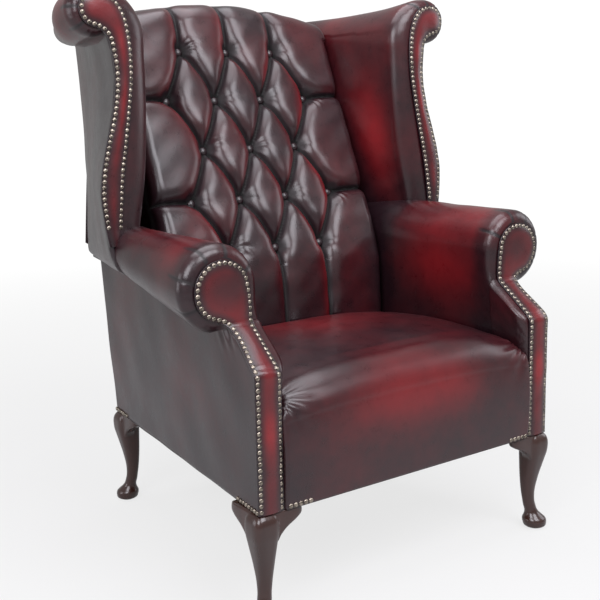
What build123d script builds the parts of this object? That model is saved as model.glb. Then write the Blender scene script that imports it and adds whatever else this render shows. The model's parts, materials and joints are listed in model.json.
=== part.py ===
"""High-back wing chair: cabriole legs, scroll arms, scroll wings, sprung seat and deep-buttoned back.

Millimetres, +Z up, the sitter faces -Y. The origin is on the floor, in the middle of the chair's box.
Right means +X. The left pieces are mirror images of the right ones.
"""

import os
from math import atan2, cos, degrees, radians, sin

from build123d import *

os.makedirs("parts", exist_ok=True)

# Overall sizes
overall_depth = 788
leg_height = 200
crest_height = 1064
front_half_width = 341
rear_half_width = 268
front_reach = -overall_depth / 2
rear_reach = overall_depth / 2

# Leather, panels and fits
leather = 2
panel = 4
gap = 0.3
slack = 1.5
overrun = 150

# Rear of the back: a shallow bow from the rear rail to the top of the outside panel
rear_lean = 101
rear_bow = 18
back_panel_top = 1042

# Arms
border_bulge = 10
facing_width = 50
facing_disc_radius = 52
knee_height = 440
knee_radius = 14
neck_height = 502
neck_setback = 84
neck_radius = 45
neck_fillet = 12
arm_height = 637
roll_radius = 77
roll_radius_at_wing = 46
roll_radius_at_back = 38
roll_outer_at_wing = 392
roll_outer_at_back = 354
roll_under = -60
roll_edge = 21
inside_half_width = 283
inside_half_width_rear = 263
inside_swell = 13
shoulder_steps = 5
roll_steps = 10
block_sides = 12
wall_steps = 4
arm_pad_bottom = 372
arm_pad_thickness = 30
arm_rear = 130
arm_hollow_top = 522
post_inset = 10
arm_rail_width = 24
arm_rail_height = 40
arm_rail_z = 578.3
tacking_width = 12
tacking_height = 34

# Wings
wing_front = -7
wing_lean = 19
wing_height = 1070
wing_base = 600
wing_edge = 27
wing_band = 42
wing_depth = 390
wing_waist_height = 800
wing_brow_height = 975
wing_roll_x = 393
wing_roll_radius = 47
wing_disc_radius = 32
wing_roll_under = -110
wing_notch = -112
wing_pad_thickness = 26
wing_panel_bottom = 553
wing_panel_tuck = 14
wing_post_inset = 9
wing_post_depth = 22
wing_rail_width = 22
wing_rail_height = 24
wing_rail_rear_z = 1005
# Padded wing at four depths behind its facing: roll centre x, roll radius, top height,
# then x of the inner face at its foot, waist and brow
wing_stations = [
    (31, 393, 47, 1070, 330, 303, 291),
    (105, 386, 44, 1059, 300, 284, 279),
    (195, 353, 39, 1049, 268, 265, 266),
    (374, 291, 28, 1040, 263, 261, 262),
]
# Outline of the wing facing, from the scroll down: x of its inner edge and height
wing_inner_edge = [(331, 960), (333, 880), (350, 790), (370, 640)]
# Outside of the wing: height, x at the facing, x at the rear edge
wing_rows = [(567, 398, 285), (710, 409, 269), (790, 391, 268), (905, 366, 268), (980, 375, 270)]

# Back
back_half_width = 260
rake = 23.3
button_row_low = 556
button_row_high = 957
button_row_low_y = 62
button_rows = 5
button_pitch = 114
tuft_depth = 40
tuft_reach = 44
zone_half_width = 276
back_bottom = 330
lumbar_face = 8
crest_end_height = 1026
crest_front_radius = 55
crest_rear_radius = 22
button_radius = 9
button_height = 7
button_sides = 8
button_draft = 20

back_panel_half_width = 257
back_panel_foot_half_width = 263.5
back_panel_shoulder = 1004
back_panel_waist = 439

# Seat
seat_half_width = 277
seat_half_width_rear = 264.5
seat_crown_height = 431
seat_side_height = 402
seat_rear_height = 412
seat_front_radius = 62
seat_crown_y = -150
seat_front_drop = 11
seat_rear = 7.4
seat_tail = 235
border_foot = 6
border_shoulder = 4
spring_wire = 3.5
spring_count = 5
spring_pitch = 94
spring_width = 56
spring_bends = 15
clip_length = 22
clip_height = 5.5
cloth = 1.2

# Frame timber
rail_thickness = 30
crest_rail_top = 1016
rail_height = 92
post_width = 36
post_depth = 45
back_post_outer = 260
crest_rail_inset = 24
crest_rail_bottom = 942
lumbar_rail_z = 352
lumbar_rail_height = 44
block_size = 62
block_inset = 12
tenon_size = 16
tenon_length = 40
webbing_width = 50
webbing_rows = 6
webbing_columns = 4
webbing_half_width = 252
dust_lap = 5

# Legs
leg_inset = 16
knee_size = 44
ankle_size = 25
foot_radius = 23
foot_thickness = 24
foot_shift = 7
ear_length = 58
ear_drop = 38
ear_thickness = 24

# Places that several pieces share
facing_front = front_reach + border_bulge
facing_inner = front_half_width - facing_width
scroll_x = facing_inner + facing_disc_radius
scroll_z = arm_height - roll_radius
neck_y = facing_front + neck_setback
rear_bottom = rear_reach - rear_lean
side_slope = (front_half_width - rear_half_width) / (rear_bottom - facing_front)
rake_share = sin(radians(rake)) / cos(radians(rake))
row_rise = (button_row_high - button_row_low) / (button_rows - 1)
round_share = sin(radians(45))
front_leg_x, front_leg_y = front_half_width - leg_inset, facing_front + leg_inset
rear_leg_x, rear_leg_y = rear_half_width - leg_inset, rear_bottom - leg_inset
front_tenon_x = front_leg_x - 2 * panel
rear_tenon_x = rear_leg_x - panel
rear_tenon_y = rear_leg_y - panel
arm_rail_top = arm_rail_z + arm_rail_height / 2
rail_top = leg_height + rail_height
rear_layer_depth = panel + gap + post_depth
far_x, far_y = 2 * front_half_width, 2 * overall_depth


def save(part, name):
    """Label one finished piece and write it."""
    part.label = name
    export_step(part, f"parts/{name}.step")


def save_pair(part, name):
    """Write the right-hand piece and its mirror image."""
    with BuildPart() as twin:
        mirror(part, about=Plane.YZ)
    save(part, f"right_{name}")
    save(twin.part, f"left_{name}")


def between(first, last, share):
    """A value on the way from a first value to a last one."""
    return first + (last - first) * share


def rear_y(z):
    """Rear face of the back at height z: a straight lean with a shallow bow."""
    t = (z - leg_height) / (back_panel_top - leg_height)
    return rear_bottom + rear_lean * t + rear_bow * 4 * t * (1 - t)


def side_x(y):
    """Outside of the lower side panel at depth y."""
    return front_half_width - side_slope * (y - facing_front)


def wing_face_y(z):
    """Front of the leaning wing facing at height z."""
    return wing_front + wing_lean * (z - arm_height) / (wing_height - arm_height)


def front_prism(outline):
    """A front-view outline carried right through from front to rear."""
    with BuildPart() as prism:
        with BuildSketch(Plane.XZ):
            Polygon(*outline, align=None)
        extrude(amount=far_y, both=True)
    return prism.part


def side_prism(outline):
    """A side-view outline carried right through from side to side."""
    with BuildPart() as prism:
        with BuildSketch(Plane.YZ):
            Polygon(*outline, align=None)
        extrude(amount=far_x, both=True)
    return prism.part


def plan_prism(outline, low, high):
    """A plan outline raised from one height to another."""
    with BuildPart() as prism:
        with BuildSketch(Plane.XY.offset(low)):
            Polygon(*outline, align=None)
        extrude(amount=high - low)
    return prism.part


def tapered_bar(width, height, front, rear):
    """A straight timber between two points; its ends are upright rectangles."""
    with BuildPart() as bar:
        ends = []
        for x, y, z in (front, rear):
            with BuildSketch(Plane.XZ.offset(-y)) as end:
                with Locations((x, z)):
                    Rectangle(width, height)
            ends.append(end.sketch)
        loft(sections=ends, ruled=True)
    return bar.part


edge_shares = (0, 0.12, 0.4, 1)


def rear_curve(forward, low, high):
    """The rear face's bow as one curve between two heights, moved forward by a distance."""
    middle = (low + high) / 2
    pull = 2 * rear_y(middle) - (rear_y(low) + rear_y(high)) / 2
    return [(rear_y(low) - forward, low), (pull - forward, middle), (rear_y(high) - forward, high)]


def rear_strip(forward, thickness, low, high, left, right):
    """A strip that follows the rear face's bow, at a distance in front of it."""
    with BuildPart() as layer:
        with BuildSketch(Plane.YZ.offset(left)):
            with BuildLine():
                rear = Bezier(*rear_curve(forward, low, high))
                front = Bezier(*rear_curve(forward + thickness, low, high))
                Line(rear @ 0, front @ 0)
                Line(rear @ 1, front @ 1)
            make_face()
        extrude(amount=right - left)
    return layer.part


def rear_layer(forward, thickness, low, high):
    """The same from one side of the chair right through to the other."""
    return rear_strip(forward, thickness, low, high, -far_x, far_x)


def rear_space(forward, low, high):
    """The space behind a layer in front of the rear face, from side to side."""
    return rear_layer(-overrun, overrun + forward, low, high)


# Legs: sawn to a cabriole line from two sides, on a turned pad foot, with a tenon on top.
# Each row is: share of the leg's height, width, outward shift
leg_rows = [
    (0.12, ankle_size, 0),
    (0.24, ankle_size, -foot_shift / 4),
    (0.4, ankle_size, -foot_shift),
    (0.62, 1.3 * ankle_size, -foot_shift / 2),
    (0.85, knee_size, foot_shift / 7),
    (1, 0.94 * knee_size, 0),
]


def leg_outline(plane, direction):
    """One sawn side of the leg: two smooth edges between its rows."""
    with BuildSketch(plane.offset(-knee_size)) as outline:
        with BuildLine():
            edges = []
            for side in (-1, 1):
                points = [
                    (direction * (shift + side * width / 2), leg_height * share)
                    for share, width, shift in leg_rows
                ]
                edges.append(Spline(*points))
            Line(edges[0] @ 0, edges[1] @ 0)
            Line(edges[0] @ 1, edges[1] @ 1)
        make_face()
    return outline.sketch


def tenon(x, y, clearance):
    """The square tenon on a leg's top, or with clearance the mortise for it."""
    with BuildPart() as pin:
        with Locations((x, y, leg_height)):
            Box(
                tenon_size + 2 * clearance,
                tenon_size + 2 * clearance,
                tenon_length + clearance,
                align=(Align.CENTER, Align.CENTER, Align.MIN),
            )
    return pin.part


def cabriole_leg(x, y, y_sign, tenon_x, tenon_y):
    """A right-hand leg round its own centre line, its foot turned out on the diagonal."""
    with BuildPart() as leg:
        extrude(leg_outline(Plane.XZ, 1), amount=2 * knee_size)
        extrude(leg_outline(Plane.YZ, y_sign), amount=2 * knee_size, mode=Mode.INTERSECT)
        with BuildSketch(Plane.XZ):
            Polygon(
                (0, 0),
                (foot_radius - border_foot / 2, 0),
                (foot_radius, foot_thickness / 2),
                (foot_radius * 0.8, foot_thickness),
                (0, foot_thickness),
                align=None,
            )
        revolve(axis=Axis.Z)
        add(tenon(tenon_x - x, tenon_y - y, 0))
    return leg.part.moved(Location((x, y, 0)))


front_leg = cabriole_leg(front_leg_x, front_leg_y, -1, front_tenon_x, front_leg_y)
save_pair(front_leg, "front_leg")
rear_leg = cabriole_leg(rear_leg_x, rear_leg_y, 1, rear_tenon_x, rear_tenon_y)
save_pair(rear_leg, "rear_leg")


def arc_points(x, z, reach_x, reach_z, first, last, steps):
    """Points along an arc of a circle or an ellipse, between two angles in degrees."""
    turns = [radians(between(first, last, i / steps)) for i in range(steps + 1)]
    return [(x + reach_x * cos(turn), z + reach_z * sin(turn)) for turn in turns]


def placed(plane, points):
    """The corners of an outline, carried from its plane into the chair's space."""
    return [plane.from_local_coords((x, z, 0)) for x, z in points]


def faceted_body(rings):
    """A closed body through outlines with equally many corners, each side split into flat facets."""
    faces = [Face(Wire.make_polygon(rings[0])), Face(Wire.make_polygon(rings[-1]))]
    for first, second in zip(rings, rings[1:]):
        edges = list(zip(first, second))
        for (a, b), (c, d) in zip(edges, edges[1:] + edges[:1]):
            faces += [Face(Wire.make_polygon([a, b, d])), Face(Wire.make_polygon([a, d, c]))]
    return Solid(Shell(faces))


def edge_draw(radius, share):
    """How far a rolled-in edge draws in at a share of its depth."""
    return radius - (radius**2 - (radius * (1 - share)) ** 2) ** 0.5


# Arms: sections of the padded arm from its scroll to the back
def arm_outline(y, inset, bottom, rolled=True):
    """Cross section of the arm at depth y inside a given skin, with or without its roll."""
    along = (y - facing_front) / (arm_rear - facing_front)
    if y <= wing_front:
        share = max(0, (y - neck_y) / (wing_front - neck_y))
        radius = between(roll_radius, roll_radius_at_wing, share)
        outer = between(scroll_x + roll_radius, roll_outer_at_wing, share)
    else:
        share = (y - wing_front) / (arm_rear - wing_front)
        radius = between(roll_radius_at_wing, roll_radius_at_back, share)
        outer = between(roll_outer_at_wing, roll_outer_at_back, share)
    inner = between(inside_half_width, inside_half_width_rear, along) + inset
    side = inner - inside_swell * (1 - along)
    centre_x, centre_z = outer - radius, arm_height - radius
    wall = side_x(y) - panel - gap - inset
    foot = between(side, inner, (scroll_z - bottom) / (scroll_z - arm_pad_bottom))
    points = [(wall, centre_z - radius), (wall, bottom), (foot, bottom)]
    if rolled:
        reach = arm_height - scroll_z - inset
        points += arc_points(centre_x, scroll_z, centre_x - side, reach, 180, 90, shoulder_steps)
        r = radius - inset
        points += arc_points(centre_x, centre_z, r, r, 90, roll_under, roll_steps)[1:]
    else:
        points += [(side, scroll_z), (wall, scroll_z)]
    return points


def arm_ring(y, inset, bottom):
    """The same section's corners in place."""
    return placed(Plane.XZ.offset(-y), arm_outline(y, inset, bottom))


def arm_front_outline(setback):
    """Side view of everything behind the arm's front: upright, knee, slope and neck."""
    y = facing_front + setback
    with BuildSketch(Plane.YZ) as view:
        with BuildLine():
            front = FilletPolyline(
                (y, 0),
                (y, knee_height - setback / 2),
                (neck_y + setback, neck_height - setback / 2),
                (neck_y + setback, wing_height),
                radius=[knee_radius, neck_radius],
            )
            Polyline(front @ 1, (far_y, wing_height), (far_y, 0), front @ 0)
        make_face()
    return view.sketch


def arm_lower(inset, bottom):
    """The part of the arm in front of its scroll, from the neck down."""
    setback = panel + inset
    front = neck_y + setback + roll_edge - inset
    with BuildPart() as lower:
        with BuildSketch(Plane.XZ.offset(-front)):
            Polygon(*arm_outline(front, inset, bottom, rolled=False), align=None)
        extrude(amount=front + far_y)
        add(
            side_prism(
                [
                    (facing_front + setback, 0),
                    (facing_front + setback, knee_height),
                    (neck_y + setback, neck_height),
                    (far_y, neck_height),
                    (far_y, 0),
                ]
            ),
            mode=Mode.INTERSECT,
        )
    return lower.part


def arm_body(inset, bottom, tail):
    """The arm's whole form inside a given skin, with its front edge rolled in round the scroll."""
    radius = roll_edge - inset
    front = neck_y + panel + inset
    rings = [
        arm_ring(front + radius * share, inset + edge_draw(radius, share), bottom)
        for share in edge_shares
    ]
    rings += [arm_ring(wing_front, inset, bottom), arm_ring(arm_rear + tail, inset, bottom)]
    with BuildPart() as arm:
        add(faceted_body(rings))
        add(arm_lower(inset, bottom))
    return arm.part


def side_space(inset, top):
    """Everything beyond the lower side panel's line, drawn in by an inset, up to a height."""
    front, rear = side_x(facing_front) - inset, side_x(rear_reach) - inset
    return plan_prism(
        [(front, facing_front), (rear, rear_reach), (far_x, rear_reach), (far_x, facing_front)],
        0,
        top,
    )


# Arm timber
with BuildPart() as arm_front_post:
    add(
        front_prism(
            [
                (facing_inner + post_inset, leg_height),
                (facing_inner + post_inset, scroll_z),
                (facing_inner + facing_width - post_inset, scroll_z),
                (facing_inner + facing_width - post_inset, leg_height),
            ]
        )
    )
    with BuildSketch(Plane.XZ.offset(far_y)):
        with Locations((scroll_x, scroll_z)):
            RegularPolygon(facing_disc_radius - post_inset, block_sides)
    extrude(amount=-2 * far_y)
    extrude(arm_front_outline(panel), amount=far_x, both=True, mode=Mode.INTERSECT)
    extrude(
        arm_front_outline(panel + post_depth), amount=far_x, both=True, mode=Mode.SUBTRACT
    )
    add(side_space(panel + gap, scroll_z - facing_disc_radius + post_inset), mode=Mode.SUBTRACT)
    add(tenon(front_tenon_x, front_leg_y, gap), mode=Mode.SUBTRACT)
save_pair(arm_front_post.part, "arm_front_post")

arm_rail = tapered_bar(
    arm_rail_width,
    arm_rail_height,
    (scroll_x, neck_y + panel + post_depth, arm_rail_z),
    (back_post_outer + arm_rail_width / 2, rear_y(arm_rail_z) - panel - post_depth / 2, arm_rail_z),
)
save_pair(arm_rail, "arm_rail")

tacking_z = arm_pad_bottom + tacking_height / 2
tacking_y = facing_front + panel + post_depth
tacking_bar = tapered_bar(
    tacking_width,
    tacking_height,
    (side_x(tacking_y) - panel - tacking_width * 2 / 3, tacking_y, tacking_z),
    (back_post_outer + tacking_width / 2, rear_y(tacking_z) - post_depth * 2 / 3, tacking_z),
)
with BuildPart() as arm_tacking_rail:
    add(tacking_bar)
    add(side_space(panel + gap, scroll_z), mode=Mode.SUBTRACT)
save_pair(arm_tacking_rail.part, "arm_tacking_rail")


# Wings: a board cut to the facing's outline, leaning back, and the top rail inside the roll
def wing_plane(depth):
    """The leaning plane at a depth behind the front of the wing facing."""
    return Plane(
        origin=(0, wing_face_y(0) + depth, 0),
        x_dir=(1, 0, 0),
        z_dir=(0, -(wing_height - arm_height), wing_lean),
    )


def wing_wall(row, share):
    """Outside of the wing at one table row, on the way from its facing to the rear edge."""
    z, first, last = wing_rows[row]
    return between(first, last, share), z


def wing_ring(depth, inset, drawn_share, low):
    """Corners of the wing's section at a depth behind its facing plane, inside a given skin."""
    stations = [row[0] for row in wing_stations]
    index = max(i for i in range(len(stations) - 1) if depth >= stations[i] or i == 0)
    share = max(0, (depth - stations[index]) / (stations[index + 1] - stations[index]))
    _, centre, radius, top, foot, waist, brow = (
        between(a, b, share) for a, b in zip(wing_stations[index], wing_stations[index + 1])
    )
    band = wing_band * drawn_share + inset
    draw = (wing_roll_radius - wing_disc_radius) * drawn_share + inset
    wall = panel + 2 * slack + inset
    roll_z = top - radius
    brow_x = brow + band
    rise = top - draw - wing_brow_height
    low_x = between(waist, foot, (wing_waist_height - low) / (wing_waist_height - wing_base))
    points = [(low_x + band, low), (waist + band, wing_waist_height)]
    points += arc_points(
        centre, wing_brow_height, centre - brow_x, rise, 180, 90, shoulder_steps
    )
    reach = radius - draw
    points += arc_points(centre, roll_z, reach, reach, 90, wing_roll_under, roll_steps)[1:]
    faces = (foot, foot, waist, waist, brow)
    walls = [wing_wall(row, depth / wing_depth) for row in range(len(wing_rows))]
    (x0, z0), (x1, z1) = walls[:2]
    walls[0] = (between(x0, x1, max(0, (low - z0) / (z1 - z0))), low)
    for (x, z), face in reversed(list(zip(walls, faces))):
        points.append((max(x - wall, face + band + slack), z))
    return placed(wing_plane(depth), points)


def wing_body(inset, low, tail):
    """The wing's form inside a given skin: rounded front edge, inner face and top roll."""
    radius = wing_edge - inset
    rings = [
        wing_ring(panel + inset + radius * share, inset, edge_draw(1, share), low)
        for share in edge_shares
    ]
    depths = [row[0] for row in wing_stations]
    for first, last in zip(depths, depths[1:]):
        rings.append(wing_ring((first + last) / 2, inset, 0, low))
        rings.append(wing_ring(last + (tail if last == depths[-1] else 0), inset, 0, low))
    with BuildPart() as wing:
        add(faceted_body(rings))
        add(rear_space(panel + gap + inset, low - overrun, 2 * wing_height), mode=Mode.SUBTRACT)
    return wing.part


def wing_facing_layer(inset, setback, thickness, low):
    """The wing facing's outline, drawn in by an inset, as a leaning layer."""
    radius = wing_disc_radius - inset
    notch = radians(wing_notch)
    middle = (radians(90) + notch) / 2
    x, z = wing_roll_x, wing_height - wing_roll_radius
    (x3, z3), (x2, z2), (x1, z1) = (wing_wall(row, 0) for row in (3, 2, 1))
    foot_x = wing_wall(0, 0)[0] - inset
    (a3, b3), (a2, b2), (a1, b1), (a0, _) = wing_inner_edge
    with BuildPart() as layer:
        with BuildSketch(wing_plane(setback + thickness)):
            with BuildLine():
                disc = ThreePointArc(
                    (x, z + radius),
                    (x + radius * cos(middle), z + radius * sin(middle)),
                    (x + radius * cos(notch), z + radius * sin(notch)),
                )
                hollow = ThreePointArc(disc @ 1, (x3 - inset, z3), (x2 - inset, z2))
                swell = ThreePointArc(hollow @ 1, (x1 - inset, z1), (foot_x, low))
                crown = ThreePointArc(disc @ 0, (a3 + inset, b3), (a2 + inset, b2))
                edge = ThreePointArc(crown @ 1, (a1 + inset, b1), (a0 + inset, low))
                Line(swell @ 1, edge @ 1)
            make_face()
        extrude(amount=thickness)
    return layer.part


wing_board_rear = panel + leather + gap + wing_post_depth
with BuildPart() as wing_board:
    with BuildSketch(wing_plane(wing_board_rear)):
        board = [wing_wall(row, wing_board_rear / wing_depth) for row in range(len(wing_rows))]
        board = [(x - panel - 2 * slack, max(z, arm_rail_top)) for x, z in board]
        board += [(wing_roll_x, wing_height - wing_roll_radius + wing_disc_radius / 2)]
        board += [(x + wing_post_inset, z) for x, z in wing_inner_edge]
        board += [(wing_inner_edge[-1][0] + wing_post_inset, arm_rail_top)]
        Polygon(*board, align=None)
    extrude(amount=wing_post_depth)
save_pair(wing_board.part, "wing_front_post")

wing_top_rail = tapered_bar(
    wing_rail_width,
    wing_rail_height,
    (
        wing_roll_x,
        wing_face_y(wing_height) + panel + leather + gap + wing_post_depth,
        wing_height - wing_roll_radius,
    ),
    (
        back_post_outer + wing_rail_width / 2,
        rear_y(wing_rail_rear_z) - rear_layer_depth / 2,
        wing_rail_rear_z,
    ),
)
save_pair(wing_top_rail, "wing_top_rail")

# Outside panels
with BuildPart() as outside_arm_panel:
    add(
        plan_prism(
            [
                (side_x(facing_front), facing_front),
                (side_x(rear_reach), rear_reach),
                (side_x(rear_reach) - panel, rear_reach),
                (side_x(facing_front) - panel, facing_front),
            ],
            leg_height,
            wing_panel_bottom,
        )
    )
    extrude(arm_front_outline(panel), amount=far_x, both=True, mode=Mode.INTERSECT)
    add(rear_layer(0, far_y, leg_height, wing_panel_bottom), mode=Mode.INTERSECT)
    add(
        side_prism(
            [
                (neck_y, wing_height),
                (neck_y, scroll_z - roll_radius),
                (wing_front, arm_height - 2 * roll_radius_at_wing),
                (arm_rear, wing_panel_bottom),
                (arm_rear, wing_height),
            ]
        ),
        mode=Mode.SUBTRACT,
    )
save_pair(outside_arm_panel.part, "outside_arm_panel")


def wing_panel_ring(depth):
    """The outside wing panel's strip with its turned-under bottom, at a depth."""
    walls = [wing_wall(row, depth / wing_depth) for row in range(len(wing_rows))]
    low_x = walls[0][0] - wing_panel_tuck
    wall_x = side_x(depth) - panel
    top = wing_panel_bottom + panel
    points = [(wall_x, wing_panel_bottom), (low_x, wing_panel_bottom)] + walls
    points += [(x - panel, z) for x, z in reversed(walls)]
    points += [(low_x - panel, top), (wall_x, top)]
    return placed(Plane.XZ.offset(-depth), points)


with BuildPart() as outside_wing_panel:
    rings = [wing_panel_ring((wing_depth + panel) * i / wall_steps) for i in range(wall_steps + 1)]
    add(faceted_body(rings))
    add(rear_layer(0, far_y, wing_panel_bottom - panel, wing_height), mode=Mode.INTERSECT)
    add(
        side_prism(
            [(wing_face_y(z) + panel, z) for z in (wing_panel_bottom - panel, wing_height)]
            + [(far_y, wing_height), (far_y, wing_panel_bottom - panel)]
        ),
        mode=Mode.INTERSECT,
    )
save_pair(outside_wing_panel.part, "outside_wing_panel")

# Arm upholstery: facing, rolled cover and pad
with BuildPart() as arm_facing:
    with BuildSketch(Plane.XZ.offset(far_y)):
        with Locations((facing_inner, leg_height)):
            Rectangle(facing_width, scroll_z - leg_height, align=(Align.MIN, Align.MIN))
        with Locations((scroll_x, scroll_z)):
            Circle(facing_disc_radius)
    extrude(amount=-2 * far_y)
    extrude(arm_front_outline(0), amount=far_x, both=True, mode=Mode.INTERSECT)
    extrude(arm_front_outline(panel), amount=far_x, both=True, mode=Mode.SUBTRACT)
save_pair(arm_facing.part, "arm_facing")

arm_form = arm_body(0, arm_pad_bottom, 0)
with BuildPart() as inside_arm_cover:
    add(arm_form)
    add(arm_body(leather, arm_pad_bottom - overrun, panel), mode=Mode.SUBTRACT)
    for other in (
        arm_facing.part,
        arm_front_post.part,
        arm_rail,
        arm_tacking_rail.part,
        wing_board.part,
        outside_wing_panel.part,
    ):
        add(other, mode=Mode.SUBTRACT)
save_pair(inside_arm_cover.part, "inside_arm_cover")


def hollow_ring(y):
    """The empty space between the arm's pad and its outside panel, at depth y."""
    along = (y - facing_front) / (arm_rear - facing_front)
    inner = between(inside_half_width, inside_half_width_rear, along) + arm_pad_thickness
    low = arm_pad_bottom - overrun
    points = [(inner, low), (far_x, low), (far_x, arm_hollow_top), (inner, arm_hollow_top)]
    return placed(Plane.XZ.offset(-y), points)


with BuildPart() as arm_pad:
    add(arm_body(leather + gap, arm_pad_bottom, 0))
    add(
        faceted_body([hollow_ring(facing_front), hollow_ring(arm_rear + overrun)]),
        mode=Mode.SUBTRACT,
    )
    for other in (
        arm_facing.part,
        arm_front_post.part,
        arm_rail,
        arm_tacking_rail.part,
        wing_board.part,
        outside_wing_panel.part,
        inside_arm_cover.part,
    ):
        add(other, mode=Mode.SUBTRACT)
save_pair(arm_pad.part, "arm_pad")

# Wing upholstery: cover with its top roll, pad and facing
wing_form = wing_body(0, wing_base, 0)
with BuildPart() as wing_cover:
    add(wing_form)
    add(wing_body(leather, wing_base - overrun, -leather), mode=Mode.SUBTRACT)
    for other in (arm_form, wing_top_rail, wing_board.part, outside_wing_panel.part):
        add(other, mode=Mode.SUBTRACT)
wing_skin = wing_cover.part.solids().sort_by(SortBy.VOLUME)[-1]
save_pair(wing_skin, "wing_cover")


def wing_hollow_ring(depth):
    """The empty space between the wing's pad and its outside panel, at a depth."""
    along = depth / wing_depth
    foot, waist = (
        between(wing_stations[0][i], wing_stations[-1][i], along) + wing_pad_thickness
        for i in (4, 5)
    )
    low, top = wing_base - overrun, wing_brow_height - wing_pad_thickness
    points = [(foot, low), (waist, wing_waist_height), (waist, top), (far_x, top), (far_x, low)]
    return placed(wing_plane(depth), points)


with BuildPart() as wing_pad:
    add(wing_body(leather + gap, wing_base, -leather - gap))
    add(
        faceted_body([wing_hollow_ring(wing_post_depth), wing_hollow_ring(wing_depth + panel)]),
        mode=Mode.SUBTRACT,
    )
    for other in (
        wing_board.part,
        wing_top_rail,
        arm_form,
        outside_wing_panel.part,
        wing_cover.part,
    ):
        add(other, mode=Mode.SUBTRACT)
save_pair(wing_pad.part, "wing_pad")

wing_facing = wing_facing_layer(0, 0, panel, arm_height)
save_pair(wing_facing, "wing_facing")

# Back: the raked plane of the buttons, with diamonds between them and soft zones at the edges
button_plane = Plane(
    origin=(0, button_row_low_y, button_row_low),
    x_dir=(1, 0, 0),
    z_dir=(0, -cos(radians(rake)), sin(radians(rake))),
)
row_pitch = row_rise / cos(radians(rake))
half_pitch = button_pitch / 2
zone_top = (crest_height - button_row_low) / cos(radians(rake)) + overrun
zone_bottom = -(button_row_low - back_bottom) / cos(radians(rake)) - overrun


def button_places():
    """Every button in the raked plane: odd rows under the pitch, even rows between."""
    places = []
    for row in range(button_rows):
        columns = [-1, 0, 1] if row % 2 == 0 else [-3 / 2, -1 / 2, 1 / 2, 3 / 2]
        places += [(column * button_pitch, row * row_pitch) for column in columns]
    return places


def button_zones():
    """The outlines between the buttons: diamonds, upright flutes and zones to the sides."""
    zones = []
    for row in range(button_rows - 2):
        for column in [-1, 0, 1] if row % 2 == 0 else [-1 / 2, 1 / 2]:
            u, v = column * button_pitch, row * row_pitch
            zones.append(
                [
                    (u, v),
                    (u + half_pitch, v + row_pitch),
                    (u, v + 2 * row_pitch),
                    (u - half_pitch, v + row_pitch),
                ]
            )
    top_row = (button_rows - 1) * row_pitch
    upper, lower = top_row - row_pitch, row_pitch
    for side in (-1, 1):
        inner, outer, shoulder = side * button_pitch, side * zone_half_width, side * 3 * half_pitch
        for row, far, apex in ((0, zone_bottom, lower), (top_row, zone_top, upper)):
            zones.append([(0, far), (inner, far), (inner, row), (side * half_pitch, apex), (0, row)])
            zones.append([(inner, far), (outer, far), (outer, apex), (shoulder, apex), (inner, row)])
        zones.append(
            [
                (shoulder, lower),
                (outer, lower),
                (outer, upper),
                (shoulder, upper),
                (inner, 2 * row_pitch),
            ]
        )
    return zones


# Rounded top of a puff: reach in from its seam and rise, as shares of the tuft's sizes
tuft_shares = [(0.01, 0), (0.09, 0.42), (0.3, 0.74), (0.6, 0.93), (1, 1)]


def tufted_face(inset):
    """Everything behind the tufted face: a block up to the button plane and a puff on each zone."""
    with BuildPart() as face:
        with Locations(button_plane * Location((0, 0, -far_y / 2 - inset))):
            Box(2 * far_x, 2 * far_y, far_y)
        for zone in button_zones():
            for (reach, rise), (next_reach, next_rise) in zip(tuft_shares, tuft_shares[1:]):
                height = (next_rise - rise) * tuft_depth
                draft = degrees(atan2((next_reach - reach) * tuft_reach, height))
                with BuildSketch(button_plane.offset(rise * tuft_depth - inset)):
                    Polygon(*zone, align=None)
                    offset(amount=-reach * tuft_reach - inset, kind=Kind.INTERSECTION)
                extrude(amount=height, taper=draft)
    return face.part


def hump(inset, low):
    """Front view of the back: upright sides under a humped crest, drawn in by an inset."""
    width = back_half_width - inset
    ends, crown = crest_end_height - inset, crest_height - inset
    with BuildSketch(Plane.XZ.offset(-far_y)) as outline:
        with BuildLine():
            ThreePointArc((-width, ends), (0, crown), (width, ends))
            Polyline((width, ends), (width, low), (-width, low), (-width, ends))
        make_face()
    return outline.sketch


def back_body(inset, low):
    """The back's form inside a skin: humped crest with rounded edges and an upright lumbar face."""
    face_y = button_row_low_y - tuft_depth / cos(radians(rake)) + inset
    lumbar_y = lumbar_face + inset
    bend_z = button_row_low + (lumbar_y - face_y) / rake_share
    crown = crest_height - inset
    rear_top = crown - crest_rear_radius
    radius = crest_front_radius - inset
    brow_z = crown - radius
    brow_y = face_y + rake_share * (brow_z - button_row_low)
    rear_face = rear_y(rear_top) - panel - inset
    with BuildPart() as body:
        extrude(hump(inset, low), amount=2 * far_y)
        with BuildSketch(Plane.YZ.offset(-far_x)) as side_view:
            with BuildLine():
                rear = Bezier(*rear_curve(panel + inset, low, rear_top))
                front = Polyline((lumbar_y, low), (lumbar_y, bend_z), (brow_y, brow_z))
                Line(rear @ 0, front @ 0)
                over = ThreePointArc(
                    front @ 1,
                    (
                        brow_y + radius * (1 - round_share),
                        brow_z + radius * round_share,
                    ),
                    (brow_y + radius, crown),
                )
                Line(over @ 1, (rear_face - crest_rear_radius, crown))
                ThreePointArc(
                    (rear_face - crest_rear_radius, crown),
                    (
                        rear_face - crest_rear_radius * (1 - round_share),
                        rear_top + crest_rear_radius * round_share,
                    ),
                    rear @ 1,
                )
            make_face()
        extrude(side_view.sketch, amount=2 * far_x, mode=Mode.INTERSECT)
        add(tufted_face(inset), mode=Mode.INTERSECT)
    return body.part


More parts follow.
